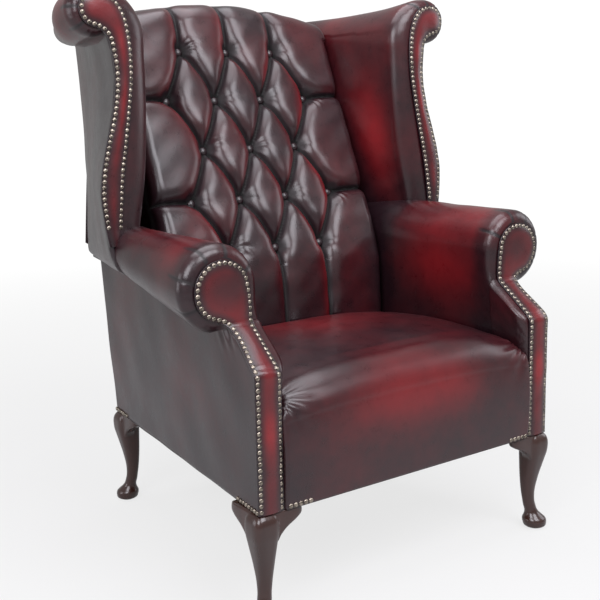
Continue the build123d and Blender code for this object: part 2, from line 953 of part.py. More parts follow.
def button_row_prisms(radius, height, draft):
    """One tapered prism on every button's place."""
    with BuildPart() as prisms:
        with BuildSketch(button_plane):
            with Locations(*button_places()):
                RegularPolygon(radius, button_sides)
        extrude(amount=height, taper=draft)
    return prisms.part


save(button_row_prisms(button_radius, button_height, button_draft), "back_buttons")
button_pockets = button_row_prisms(button_radius + gap, tuft_depth, 0)

with BuildPart() as crest_rail:
    extrude(hump(crest_rail_inset, crest_rail_bottom), amount=2 * far_y)
    add(
        rear_layer(
            panel + leather + 2 * gap, post_depth - leather, crest_rail_bottom, crest_height
        ),
        mode=Mode.INTERSECT,
    )
save(crest_rail.part, "crest_rail")

webbing_front = rear_layer_depth + 2 * cloth + gap
with BuildPart() as back_cover:
    add(back_body(0, back_bottom))
    add(back_body(leather, back_bottom - overrun), mode=Mode.SUBTRACT)
    add(rear_space(webbing_front, back_bottom - overrun, crest_rail_top), mode=Mode.SUBTRACT)
    add(button_pockets, mode=Mode.SUBTRACT)
save(back_cover.part, "back_cover")

with BuildPart() as back_pad:
    add(back_body(leather + gap, back_bottom))
    add(rear_space(webbing_front, back_bottom - overrun, crest_rail_top), mode=Mode.SUBTRACT)
    add(crest_rail.part, mode=Mode.SUBTRACT)
    add(button_pockets, mode=Mode.SUBTRACT)
save(back_pad.part, "back_pad")

# Back timber and webbing
with BuildPart() as back_post:
    add(
        rear_strip(
            panel + gap,
            post_depth,
            leg_height,
            crest_rail_bottom,
            back_post_outer - post_width,
            back_post_outer,
        )
    )
    add(tenon(rear_tenon_x, rear_tenon_y, gap), mode=Mode.SUBTRACT)
    add(side_space(panel + gap, wing_panel_bottom + panel + gap), mode=Mode.SUBTRACT)
save_pair(back_post.part, "back_post")

post_inner = back_post_outer - post_width
rear_rail = rear_strip(panel + gap, rail_thickness, leg_height, rail_top, -post_inner, post_inner)
save(rear_rail, "rear_seat_rail")
lower_back_rail = rear_strip(
    panel + gap,
    rail_thickness,
    lumbar_rail_z - lumbar_rail_height / 2,
    lumbar_rail_z + lumbar_rail_height / 2,
    -post_inner,
    post_inner,
)
save(lower_back_rail, "lower_back_rail")

with BuildPart() as cross_webbing:
    webbing_low = lumbar_rail_z - lumbar_rail_height / 2
    row_step = (crest_rail_bottom - webbing_low - webbing_width) / (webbing_rows - 1)
    for row in range(webbing_rows):
        low = webbing_low + row * row_step
        add(
            rear_strip(
                rear_layer_depth,
                cloth,
                low,
                low + webbing_width,
                -webbing_half_width,
                webbing_half_width,
            )
        )
save(cross_webbing.part, "back_cross_webbing")

with BuildPart() as upright_webbing:
    column_step = (2 * post_inner - webbing_width) / webbing_columns
    for column in range(webbing_columns):
        middle = (column - (webbing_columns - 1) / 2) * column_step
        add(
            rear_strip(
                rear_layer_depth + cloth,
                cloth,
                webbing_low,
                crest_rail_top,
                middle - webbing_width / 2,
                middle + webbing_width / 2,
            )
        )
save(upright_webbing.part, "back_upright_webbing")

# Outside back panel: narrow below, then as wide as the wings' rear edges, and humped on top
with BuildPart() as outside_back_panel:
    flank = [
        (between(first, last, rear_y(z) / wing_depth) - panel - slack, z)
        for z, first, last in reversed(wing_rows)
    ]
    flank += [
        (flank[-1][0] - wing_panel_tuck, wing_panel_bottom + panel + gap),
        (back_panel_half_width, wing_panel_bottom + panel + gap),
        (back_panel_half_width, back_panel_waist),
        (back_panel_foot_half_width, leg_height),
    ]
    with BuildSketch(Plane.XZ.offset(-far_y)):
        with BuildLine():
            crown = ThreePointArc(
                (-back_panel_half_width, back_panel_shoulder),
                (0, back_panel_top),
                (back_panel_half_width, back_panel_shoulder),
            )
            Polyline(crown @ 1, *flank, *[(-x, z) for x, z in reversed(flank)], crown @ 0)
        make_face()
    extrude(amount=2 * far_y)
    add(rear_layer(0, panel, leg_height, back_panel_top), mode=Mode.INTERSECT)
save(outside_back_panel.part, "outside_back_panel")

# Seat: one cover with its front border, over foam, hessian and zigzag springs
seat_base = rail_top + gap
seat_front_top = seat_crown_height - seat_front_drop
tongue_top = back_bottom - 2 * gap
rail_front = facing_front + panel
rail_rear = rail_front + rail_thickness
border_half_width = facing_inner - gap
border_rear = rail_front - gap


def seat_side_view(inset, tail):
    """Side view of the seat: border, rounded front, crown, and the tongue under the back."""
    front, top = front_reach + inset, seat_crown_height - inset
    front_top = seat_front_top - inset
    shoulder = front_top + inset - seat_front_radius
    radius = seat_front_radius - inset
    round_y = front + border_shoulder + radius
    with BuildSketch(Plane.YZ.offset(-far_x)) as view:
        with BuildLine():
            face = ThreePointArc(
                (front + border_foot, leg_height),
                (front, between(leg_height, shoulder, round_share)),
                (front + border_shoulder, shoulder),
            )
            nose = ThreePointArc(
                face @ 1,
                (round_y - radius * round_share, shoulder + radius * round_share),
                (round_y, front_top),
            )
            crown = ThreePointArc(
                nose @ 1, (seat_crown_y, top), (seat_rear - inset, seat_rear_height - inset)
            )
            Polyline(
                crown @ 1,
                (seat_rear - inset, tongue_top - inset),
                (seat_tail + tail, tongue_top - inset),
                (seat_tail + tail, seat_base - tail),
                (border_rear, seat_base - tail),
                (border_rear, 0),
                (front + border_foot, 0),
                face @ 0,
            )
        make_face()
    return view.sketch


def seat_body(inset, low, tail):
    """The seat's form inside a skin: side view, plan and the crown seen from the front."""
    width, rear_width = seat_half_width - inset, seat_half_width_rear - inset
    side_height, crown = seat_side_height - inset, seat_crown_height - inset
    with BuildPart() as seat:
        extrude(seat_side_view(inset, tail), amount=2 * far_x)
        with BuildSketch(Plane.XY.offset(low)) as plan:
            for side in (-1, 1):
                Polygon(
                    (0, front_reach),
                    (side * (border_half_width - inset), front_reach),
                    (side * (border_half_width - inset), border_rear),
                    (side * width, border_rear),
                    (side * rear_width, seat_rear),
                    (side * rear_width, seat_tail + tail),
                    (0, seat_tail + tail),
                    align=None,
                )
        extrude(plan.sketch, amount=seat_crown_height, mode=Mode.INTERSECT)
        with BuildSketch(Plane.XZ.offset(-far_y)) as front_view:
            with BuildLine():
                over = ThreePointArc(
                    (-border_half_width, side_height), (0, crown), (border_half_width, side_height)
                )
                Polyline(over @ 1, (border_half_width, low), (-border_half_width, low), over @ 0)
            make_face()
        extrude(front_view.sketch, amount=2 * far_y, mode=Mode.INTERSECT)
    return seat.part


with BuildPart() as seat_cover:
    add(seat_body(0, leg_height, 0))
    add(seat_body(leather, leg_height - overrun, overrun), mode=Mode.SUBTRACT)
save(seat_cover.part, "seat_cover")

hessian_low = rail_top + clip_height + gap
foam_low = hessian_low + cloth + gap
with BuildPart() as seat_foam:
    add(seat_body(leather + gap, leg_height, 0))
    add(
        plan_prism(
            [(-far_x, -far_y), (far_x, -far_y), (far_x, far_y), (-far_x, far_y)], 0, foam_low
        ),
        mode=Mode.SUBTRACT,
    )
save(seat_foam.part, "seat_foam")

border_inner = border_half_width - leather - gap
with BuildPart() as border_pad:
    add(
        plan_prism(
            [
                (-border_inner, front_reach),
                (border_inner, front_reach),
                (border_inner, border_rear),
                (-border_inner, border_rear),
            ],
            leg_height,
            foam_low - gap,
        )
    )
    add(seat_body(leather + gap, leg_height, 0), mode=Mode.INTERSECT)
save(border_pad.part, "front_border_pad")

hessian_front = seat_half_width - leather - gap
hessian_rear = seat_half_width_rear - leather - gap
hessian = plan_prism(
    [
        (-hessian_front, rail_front),
        (hessian_front, rail_front),
        (hessian_rear, seat_rear),
        (hessian_rear, seat_tail),
        (-hessian_rear, seat_tail),
        (-hessian_rear, seat_rear),
    ],
    hessian_low,
    hessian_low + cloth,
)
save(hessian, "seat_hessian")

spring_front = rail_rear - rail_thickness / 2
spring_rear = rear_y(rail_top) - panel - rail_thickness / 2
bend_pitch = (spring_rear - spring_front) / (spring_bends - 1)
spring_places = [(i - (spring_count - 1) / 2) * spring_pitch for i in range(spring_count)]
with BuildPart() as seat_springs:
    with BuildSketch(Plane.XY.offset(rail_top)):
        for x in spring_places:
            for bend in range(spring_bends):
                with Locations((x, spring_front + bend * bend_pitch)):
                    Rectangle(spring_width, spring_wire)
            for bend in range(spring_bends - 1):
                side = 1 if bend % 2 else -1
                reach = side * (spring_width - spring_wire) / 2
                with Locations((x + reach, spring_front + (bend + 1 / 2) * bend_pitch)):
                    Rectangle(spring_wire, bend_pitch)
    extrude(amount=spring_wire)
save(seat_springs.part, "seat_springs")

with BuildPart() as spring_clips:
    with BuildSketch(Plane.XY.offset(rail_top)):
        for y in (spring_front, spring_rear):
            with Locations(*[(x, y) for x in spring_places]):
                Rectangle(clip_length, clip_length / 2)
    extrude(amount=clip_height)
    add(seat_springs.part, mode=Mode.SUBTRACT)
save(spring_clips.part, "spring_clips")

# Seat timber
post_inner_x = facing_inner + post_inset
post_rear = rail_front + post_depth
front_rail = plan_prism(
    [
        (-post_inner_x, rail_front),
        (post_inner_x, rail_front),
        (post_inner_x, rail_rear),
        (-post_inner_x, rail_rear),
    ],
    leg_height,
    rail_top,
)
save(front_rail, "front_seat_rail")


def rail_inner(y):
    """Inner face of the side rail at depth y."""
    return side_x(y) - panel - gap - rail_thickness


with BuildPart() as side_rail:
    add(
        plan_prism(
            [
                (rail_inner(post_rear), post_rear),
                (rail_inner(post_rear) + rail_thickness, post_rear),
                (rail_inner(rear_reach) + rail_thickness, rear_reach),
                (rail_inner(rear_reach), rear_reach),
            ],
            leg_height,
            rail_top,
        )
    )
    add(rear_space(rear_layer_depth, 0, wing_height), mode=Mode.SUBTRACT)
save_pair(side_rail.part, "side_seat_rail")

block_low, block_high = leg_height + block_inset, rail_top - block_inset
front_block = plan_prism(
    [
        (post_inner_x - block_size, rail_rear),
        (post_inner_x, rail_rear),
        (post_inner_x, post_rear),
        (rail_inner(rail_rear + block_size), rail_rear + block_size),
    ],
    block_low,
    block_high,
)
save_pair(front_block, "front_corner_block")

with BuildPart() as rear_block:
    block_front = rear_bottom - rear_layer_depth - block_size
    add(
        plan_prism(
            [
                (post_inner - block_size, rear_bottom - rear_layer_depth),
                (rail_inner(block_front), block_front),
                (rail_inner(rear_bottom), rear_bottom),
                (post_inner - block_size, rear_bottom),
            ],
            block_low,
            block_high,
        )
    )
    add(rear_space(panel + gap + rail_thickness, 0, wing_height), mode=Mode.SUBTRACT)
    add(back_post.part, mode=Mode.SUBTRACT)
save_pair(rear_block.part, "rear_corner_block")

# Ears beside the legs: the front legs have one to the front and one to the side
ear_arc_share = 0.35


def ear_outline(plane, start, direction):
    """One ear's side view: level top, tall end at the leg and a hollow lower edge."""
    tip = start + direction * ear_length
    with BuildSketch(plane) as outline:
        with BuildLine():
            hollow = ThreePointArc(
                (start, leg_height - ear_drop),
                (
                    between(start, tip, ear_arc_share),
                    leg_height - ear_drop * ear_arc_share,
                ),
                (tip, leg_height - panel),
            )
            Polyline(hollow @ 1, (tip, leg_height), (start, leg_height), hollow @ 0)
        make_face()
    return outline.sketch


def side_ear(start, direction):
    """An ear along the side rail, from a leg's end towards the chair's middle."""
    ends = (start - ear_length, start + ear_length)
    with BuildPart() as ear:
        extrude(ear_outline(Plane.YZ, start, direction), amount=far_x)
        add(
            plan_prism(
                [(side_x(y) - panel - gap, y) for y in ends]
                + [(side_x(y) - panel - gap - ear_thickness, y) for y in reversed(ends)],
                0,
                leg_height,
            ),
            mode=Mode.INTERSECT,
        )
    return ear.part


ear_reach = knee_size / 2 + gap
with BuildPart() as front_ears:
    extrude(
        ear_outline(Plane.XZ.offset(-rail_front), front_leg_x - ear_reach, -1),
        amount=-ear_thickness,
    )
    add(side_ear(front_leg_y + ear_reach, 1))
    mirror(about=Plane.YZ)
save(front_ears.part, "front_leg_ears")
with BuildPart() as rear_ears:
    add(side_ear(rear_leg_y - ear_reach, -1))
    mirror(about=Plane.YZ)
save(rear_ears.part, "rear_leg_ears")

# Dust cover under the rails
dust_front = rail_front + ear_thickness + gap
dust_notch = front_leg_y + knee_size / 2 + panel
dust_rear = rear_bottom - panel - rail_thickness + dust_lap
dust_step = rear_leg_y - knee_size / 2 - panel
dust_side = [
    (front_leg_x - knee_size / 2 - panel, dust_front),
    (front_leg_x - knee_size / 2 - panel, dust_notch),
    (rail_inner(dust_notch) + dust_lap, dust_notch),
    (rail_inner(dust_step) + dust_lap, dust_step),
    (rear_leg_x - knee_size / 2 - panel, dust_step),
    (rear_leg_x - knee_size / 2 - panel, dust_rear),
]
save(
    plan_prism(
        dust_side + [(-x, y) for x, y in reversed(dust_side)], leg_height - cloth, leg_height
    ),
    "dust_cover",
)
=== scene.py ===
"""High-back wing chair in rub-off antique leather: the looks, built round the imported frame.

Shapes are worked out in millimetres, in the frame's own axes, and stored in metres.
The chair faces -Y. Right means +X, and the left pieces mirror the right ones.
"""

import json
from types import SimpleNamespace

import bpy
import numpy as np
from mathutils import Matrix, Vector


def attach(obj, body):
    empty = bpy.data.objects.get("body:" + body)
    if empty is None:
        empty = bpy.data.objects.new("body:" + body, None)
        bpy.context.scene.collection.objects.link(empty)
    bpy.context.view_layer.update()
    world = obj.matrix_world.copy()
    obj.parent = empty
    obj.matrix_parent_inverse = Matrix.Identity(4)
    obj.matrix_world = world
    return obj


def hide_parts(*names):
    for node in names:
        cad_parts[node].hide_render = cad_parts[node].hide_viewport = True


bl_info = {
    "name": "Wing chair",
    "version": (1, 0, 0),
    "blender": (4, 5, 0),
    "location": "View3D > Sidebar > Wing chair",
    "description": "Builds a deep-buttoned leather wing chair round its frame",
    "category": "Add Mesh",
}

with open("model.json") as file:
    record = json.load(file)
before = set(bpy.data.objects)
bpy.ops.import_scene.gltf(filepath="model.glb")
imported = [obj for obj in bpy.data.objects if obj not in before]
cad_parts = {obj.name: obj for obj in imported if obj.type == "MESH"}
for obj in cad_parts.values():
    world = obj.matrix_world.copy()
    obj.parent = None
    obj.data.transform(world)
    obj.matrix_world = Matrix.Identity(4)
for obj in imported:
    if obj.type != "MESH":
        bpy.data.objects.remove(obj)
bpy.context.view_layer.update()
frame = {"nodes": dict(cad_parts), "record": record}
MM = 0.001
SIDES = {"right": 1, "left": -1}


# Sizes and colours that a user would change


def length(name, value, text):
    """A length, given here in millimetres and kept in metres."""
    return bpy.props.FloatProperty(
        name=name, default=value * MM, unit="LENGTH", precision=4, description=text
    )


def colour(name, value, text):
    """A colour of the leather, wood or brass."""
    return bpy.props.FloatVectorProperty(
        name=name, default=value, size=3, subtype="COLOR", min=0, max=1, description=text
    )


class ChairSizes(bpy.types.PropertyGroup):
    """Driving sizes of the chair's soft parts."""

    crest: length("Crest height", 1064, "Height of the back's crest in the middle")
    crest_end: length("Crest end height", 1026, "Height of the crest at the wings")
    back_half: length("Back half width", 260, "Half width of the buttoned back")
    tuft_depth: length("Tuft depth", 40, "Depth of a button below the puffs")
    seam_width: length("Seam reach", 12.5, "How far the puffs slope from a pleat")
    pitch: length("Button pitch", 114, "Distance between buttons in one row")
    row_rise: length("Row rise", 100.25, "Height between button rows")
    row_low: length("Lowest row", 556, "Height of the lowest button row")
    row_low_y: length("Lowest row depth", 62, "Depth of the lowest button row")
    seat_half: length("Seat half width", 290.5, "Half width of the front border")
    seat_crown: length("Seat crown", 431, "Height of the seat's crown")
    arm_height: length("Arm height", 637, "Top of the arms")
    arm_roll: length("Arm roll radius", 77, "Radius of the arm's front roll")
    nail_radius: length("Nail radius", 4.7, "Radius of a nail head")
    nail_pitch: length("Nail pitch", 10.2, "Distance between nail heads")
    rake: bpy.props.FloatProperty(
        name="Rake",
        default=float(np.radians(23.3)),
        subtype="ANGLE",
        description="Lean of the buttoned face",
    )


class ChairColours(bpy.types.PropertyGroup):
    """Colours of the finishes."""

    dark: colour("Dark leather", (0.0100, 0.0037, 0.0056), "Leather in the folds and edges")
    # This red is also painted as light on the slopes of the back's puffs.
    red: colour("Rubbed leather", (0.25, 0.008, 0.012), "Leather where the finish is rubbed")
    wood: colour("Mahogany", (0.030, 0.009, 0.006), "Dark legs")
    brass: colour("Brass", (0.52, 0.45, 0.37), "Antique nail heads")


# Small helpers for shapes


def hill(x, width, power=2):
    """A bell, 1 at zero: exp of -(x / width) to the power."""
    return np.exp(-((x / width) ** power))


def ramp(x, start, end):
    """0 up to the start, 1 from the end on, and a straight line between."""
    return np.clip((x - start) / (end - start), 0, 1)


def space(*parts):
    """Points from their coordinates, which are spread to one shape."""
    return np.stack(np.broadcast_arrays(*parts), -1)


def smooth(at, places, values):
    """A cubic through (place, value) pairs: Hermite pieces with the neighbours' mean slope.
    Where the values are rows, each column has a curve of its own."""
    places, values = np.asarray(places, float), np.asarray(values, float)
    slopes = np.gradient(values, places, axis=0)
    i = np.clip(np.searchsorted(places, at) - 1, 0, len(places) - 2)
    step = places[i + 1] - places[i]
    t = np.clip((at - places[i]) / step, 0, 1)
    columns = (..., *[None] * (values.ndim - 1))
    t, step = t[columns], step[columns]
    return (
        (1 + 2 * t) * (1 - t) ** 2 * values[i]
        + t * (1 - t) ** 2 * step * slopes[i]
        + t * t * (3 - 2 * t) * values[i + 1]
        + t * t * (t - 1) * step * slopes[i + 1]
    )


def run_along(line):
    """Distance along a line at each of its points."""
    return np.r_[0, np.cumsum(np.linalg.norm(np.diff(line, axis=0), axis=1))]


def ring_arc(x, z, reach_x, reach_z, first, last, count):
    """Points of an elliptical arc between two angles in degrees; centres in a column give a
    row of points each."""
    turn = np.radians(np.linspace(first, last, count))
    return space(x + reach_x * np.cos(turn), z + reach_z * np.sin(turn))


def draw_in(edge, radius):
    """How far a quarter-round edge draws in at a distance from the edge."""
    share = np.clip(1 - edge / radius, 0, 1)
    return radius * (1 - np.sqrt(1 - share**2))


def wave_noise(p, scale, seed):
    """Smooth noise from about -1 to 1: sine waves in seeded directions, added up."""
    waves, level = 7, 3.2
    draw = np.random.default_rng(seed)
    total = np.zeros(p.shape[:-1])
    for _ in range(waves):
        direction = draw.normal(size=3)
        direction /= np.linalg.norm(direction)
        wave = (0.6 + 0.9 * draw.random()) / scale
        total += np.sin(p @ direction * wave * 2 * np.pi + draw.random() * 2 * np.pi)
    return total / level


def darts(turn, reach, near, width, places):
    """Pressed lines that run back from an edge round a roll, each at an angle in degrees and
    with its length: a bell across the line, which fades out along it."""
    return sum(
        hill((turn - np.radians(angle)) * reach, width) * ramp(near, far, 0) ** 0.5
        for angle, far in places
    )


def add_mesh(name, verts, faces, wear_and_shading=None, flip=False):
    """A smooth mesh object at the origin from millimetre points, with its attribute of wear
    and painted light and shade: -1 painted shade in a fold, 0 dark, 1 red, which is rubbed
    and on the back partly painted light."""
    mesh = bpy.data.meshes.new(name)
    if flip:
        faces = [tuple(reversed(f)) for f in faces]
    mesh.from_pydata((verts * MM).tolist(), [], faces)
    mesh.polygons.foreach_set("use_smooth", np.ones(len(mesh.polygons), bool))
    if wear_and_shading is not None:
        layer = mesh.attributes.new("wear_and_shading", "FLOAT", "POINT")
        layer.data.foreach_set("value", np.clip(wear_and_shading, -1, 1).astype(np.float32))
    mesh.update()
    piece = bpy.data.objects.new(name, mesh)
    bpy.context.scene.collection.objects.link(piece)
    return piece


def tube(name, rings, wear_and_shading=None):
    """A closed body: rings[i, j] is point j of closed ring i; one face closes each end.
    The faces are turned over if they point at the middle more than away from it."""
    rows, cols = rings.shape[:2]
    verts = rings.reshape(-1, 3)
    i, j = np.meshgrid(np.arange(rows - 1), np.arange(cols), indexing="ij")
    a, b = i * cols + j, i * cols + (j + 1) % cols
    quads = np.stack([a, b, b + cols, a + cols], -1).reshape(-1, 4)
    p = verts[quads]
    area = np.cross(p[:, 2] - p[:, 0], p[:, 3] - p[:, 1])
    outward = np.einsum("ij,ij->", area, p.mean(1) - verts.mean(0))
    first = list(range(cols))[::-1]
    last = [(rows - 1) * cols + k for k in range(cols)]
    flat_wear_and_shading = None if wear_and_shading is None else wear_and_shading.reshape(-1)
    return add_mesh(name, verts, quads.tolist() + [first, last], flat_wear_and_shading, flip=outward < 0)


def mirrored(points, side):
    """Points of the right-hand piece, or their mirror image."""
    return points * np.array([side, 1, 1])


def domes(name, places, normals, radius, height, around, up, neck):
    """Many small domes in one mesh: a quarter ellipse spun round each normal, closed below.
    The neck is how deep a dome is set in."""
    tilt = np.linspace(0, np.pi / 2, up + 1)[:-1, None]
    turn = np.linspace(0, 2 * np.pi, around, endpoint=False)
    reach = radius * np.cos(tilt)
    shell = space(reach * np.cos(turn), reach * np.sin(turn), height * np.sin(tilt) - neck)
    local = np.r_[shell.reshape(-1, 3), [[0, 0, height - neck], [0, 0, -neck]]]
    normals = normals / np.linalg.norm(normals, axis=1, keepdims=True)
    helper = np.where(np.abs(normals[:, 2:]) < 0.9, [[0.0, 0, 1]], [[1.0, 0, 0]])
    across = np.cross(helper, normals)
    across /= np.linalg.norm(across, axis=1, keepdims=True)
    basis = np.stack([across, np.cross(normals, across), normals], 1)
    verts = places[:, None, :] + np.einsum("vk,nkc->nvc", local, basis)
    i, j = np.meshgrid(np.arange(up - 1), np.arange(around), indexing="ij")
    a, b = i * around + j, i * around + (j + 1) % around
    quads = np.stack([a, b, b + around, a + around], -1).reshape(-1, 4)
    k = np.arange(around)
    top, tip = (up - 1) * around, up * around
    crown = space(top + k, top + (k + 1) % around, tip)
    under = space((k + 1) % around, k, tip + 1)
    copies = len(local) * np.arange(len(places))[:, None, None]
    faces = []
    for block in (quads, crown, under):
        faces += (block + copies).reshape(-1, block.shape[1]).tolist()
    return add_mesh(name, verts.reshape(-1, 3), faces)


# Finishes: a small language for shader maths


class Value:
    """A socket that can be used in sums; each operator adds its Math node."""

    def __init__(self, nodes, socket):
        self.nodes, self.socket = nodes, socket

    def maths(self, operation, *others):
        return self.nodes.add("ShaderNodeMath", {"operation": operation}, [self, *others])

    def __add__(self, other):
        return self.maths("ADD", other)

    def __sub__(self, other):
        return self.maths("SUBTRACT", other)

    def __rsub__(self, other):
        return self.nodes.add("ShaderNodeMath", {"operation": "SUBTRACT"}, [other, self])

    def __mul__(self, other):
        return self.maths("MULTIPLY", other)

    def __pow__(self, other):
        return self.maths("POWER", other)

    __radd__, __rmul__ = __add__, __mul__

    def held(self):
        """The value held between 0 and 1."""
        return self.maths("MINIMUM", 1.0).maths("MAXIMUM", 0.0)


class Nodes:
    """A tree of shader nodes and the ways to add to it."""

    def __init__(self, tree):
        self.tree = tree

    def put(self, value, node, key):
        """Links a value to a socket of a node, or sets it there if it is a constant."""
        if isinstance(value, Value):
            self.tree.links.new(value.socket, node.inputs[key])
        else:
            node.inputs[key].default_value = value

    def add(self, kind, settings, inputs, output=0):
        """A node of a type, with its settings made first and then its sockets' values or links."""
        node = self.tree.nodes.new(kind)
        for key, value in settings.items():
            setattr(node, key, value)
        for key, value in inputs.items() if isinstance(inputs, dict) else enumerate(inputs):
            self.put(value, node, key)
        return Value(self, node.outputs[output])

    def pale_share(self, shine):
        """1 for the camera's rays, and a share of that for glossy ones, so that polish and
        metal mirror some of the pale background without more light on the chair."""
        camera = self.add("ShaderNodeLightPath", {}, [], "Is Camera Ray")
        glossy = self.add("ShaderNodeLightPath", {}, [], "Is Glossy Ray")
        return camera.maths("MAXIMUM", glossy * shine)


class Finish(Nodes):
    """One material and its nodes."""

    def __init__(self, name, **sockets):
        self.material = bpy.data.materials.new(name)
        self.material.use_nodes = True
        super().__init__(self.material.node_tree)
        self.shader = self.tree.nodes["Principled BSDF"]
        for key, value in sockets.items():
            self.feed(key.replace("_", " "), value)
        self.place = self.add("ShaderNodeTexCoord", {}, [], "Object")

    def feed(self, name, value):
        self.put(value, self.shader, name)

    def noise(self, scale, detail=3.0, roughness=0.5, stretch=None):
        """Noise in object space, stretched along the axes if asked."""
        place = self.place
        if stretch:
            place = self.add("ShaderNodeMapping", {}, {"Vector": place, "Scale": stretch})
        sockets = {"Vector": place, "Scale": scale, "Detail": detail, "Roughness": roughness}
        return self.add("ShaderNodeTexNoise", {}, sockets)

    def cells(self, scale, feature="F1"):
        """Distance to the nearest cell point or wall in object space."""
        sockets = {"Vector": self.place, "Scale": scale}
        return self.add("ShaderNodeTexVoronoi", {"feature": feature}, sockets)

    def attribute(self, name):
        return self.add("ShaderNodeAttribute", {"attribute_name": name}, [], "Fac")

    def blend(self, share, first, second):
        """A colour between two colours. The sockets are the Mix node's own, by number."""
        factor, colour_a, colour_b, result = 0, 6, 7, 2
        first, second = (c if isinstance(c, Value) else (*c, 1) for c in (first, second))
        sockets = {factor: share, colour_a: first, colour_b: second}
        return self.add("ShaderNodeMix", {"data_type": "RGBA"}, sockets, result)

    def bump(self, *layers):
        """Bumps on top of each other, each (height, strength, distance in metres)."""
        sockets = {}
        for height, strength, distance in layers:
            sockets |= {"Height": height, "Strength": strength, "Distance": distance}
            sockets["Normal"] = self.add("ShaderNodeBump", {}, sockets)
        self.feed("Normal", sockets["Normal"])


def tint(tone, share):
    """A colour made darker or lighter by a factor."""
    return tuple(share * c for c in tone)


def leather(name, colours, spread=0.55, worn=None):
    """Rub-off leather: painted shade, near black, in the folds, red where rubbed, with pores,
    creases and gloss.
    The wear and the painted shade follow the piece's attribute; where the wear is given instead, it
    is the same all over and no shade is painted."""
    # The colour of the painted shade in the folds.
    black = (0.0006, 0.0004, 0.0004)
    finish = Finish(name, IOR=1.5, Coat_Roughness=0.25)
    cloud = finish.noise(7.0, 4.0, 0.55)
    mottle = finish.noise(38.0, 4.0, 0.6)
    wear_and_shading, fold = worn, 0.0
    # Negative values of the attribute are painted shade in the folds: near black, without coat and
    # rougher.
    if worn is None:
        wear_and_shading = finish.attribute("wear_and_shading")
        fold = (wear_and_shading * -1.0).held()
    share = (wear_and_shading + (cloud - 0.5) * spread + (mottle - 0.5) * 0.22).held() ** 1.6
    deep = finish.blend(mottle.held(), tint(colours.dark, 1), tint(colours.dark, 1.5))
    shade = finish.blend(share, deep, tint(colours.red, 1))
    finish.feed("Base Color", finish.blend(fold, shade, black))
    finish.feed("Coat Weight", (1.0 - fold) * 0.25)
    pores = finish.cells(620.0)
    walls = finish.cells(290.0, "DISTANCE_TO_EDGE")
    creases = finish.noise(55.0, 5.0, 0.6)
    finish.feed("Roughness", (mottle * 0.16 + pores * 0.08 + fold * 0.6 + 0.19).held())
    finish.bump((creases, 0.16, 0.0012), (walls, 0.28, 0.0005), (pores, 0.16, 0.0003))
    return finish.material


def polished_wood(name, colours):
    """Dark mahogany: long grain along the leg, open pores and a polish over it."""
    finish = Finish(name, Coat_Weight=0.5, Coat_Roughness=0.12)
    grain = finish.noise(30.0, 5.0, 0.6, stretch=(1.0, 1.0, 0.08))
    pores = finish.noise(260.0, 2.0, 0.5, stretch=(1.0, 1.0, 0.05))
    shade = finish.blend(grain.held(), tint(colours.wood, 0.45), tint(colours.wood, 1.8))
    finish.feed("Base Color", shade)
    finish.feed("Roughness", (grain * 0.2 + 0.2).held())
    finish.bump((pores, 0.12, 0.0003))
    return finish.material


def aged_brass(name, colours):
    """Nail brass: dark tarnish in patches over warm metal."""
    finish = Finish(name, Metallic=1.0)
    patch = finish.noise(160.0, 3.0, 0.6)
    clean = ((patch - 0.35) * 2.4).held()
    shade = finish.blend(clean, tint(colours.brass, 0.22), tint(colours.brass, 1))
    finish.feed("Base Color", shade)
    finish.feed("Roughness", (patch * 0.25 + 0.16).held())
    return finish.material


def plain_finish(name, tones, scale, roughness, metallic=0.0, stretch=None, weave=0.0):
    """Bare timber, cloth, foam or wire: two tones in a fine pattern with its bump."""
    finish = Finish(name, Roughness=roughness, Metallic=metallic)
    pattern = finish.noise(scale, 4.0, 0.6, stretch)
    finish.feed("Base Color", finish.blend(pattern.held(), *tones))
    finish.bump((finish.cells(weave), 0.4, 0.0006) if weave else (pattern, 0.2, 0.0005))
    return finish.material


def dress(piece, material, slot, *replaced):
    """Gives a piece its material and body, and hides the CAD nodes it stands for. The slot is not
    used.
    """
    piece.data.materials.clear()
    piece.data.materials.append(material)
    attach(piece, "root")
    if replaced:
        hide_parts(*replaced)
    return piece


# The buttoned back


def button_spots(s):
    """Buttons in the raked plane: odd rows on the pitch, even rows between, as (17, 2)."""
    step = s.row_rise / np.cos(s.rake)
    spots = []
    for row in range(5):
        columns = (-1, 0, 1) if row % 2 == 0 else (-1.5, -0.5, 0.5, 1.5)
        spots += [(c * s.pitch, row * step) for c in columns]
    return np.array(spots)


def pleat_lines(s):
    """Pleats between neighbouring buttons, over the crest, down to the seat and to the sides."""
    spots = button_spots(s)
    step = s.row_rise / np.cos(s.rake)
    lines = []
    for n, one in enumerate(spots):
        for other in spots[n + 1 :]:
            gap = np.abs(one - other) - (s.pitch / 2, step)
            if np.abs(gap).max() < 1:
                lines.append((one, other))
    for x in (-s.pitch, 0, s.pitch):
        lines.append(((x, 4 * step), (x, 20 * step)))
        lines.append(((x, 0), (x, -10 * step)))
    for side in (-1, 1):
        for row in (1, 3):
            lines.append(((side * 1.5 * s.pitch, row * step), (side * 8 * s.pitch, row * step)))
    return np.array(lines, float)


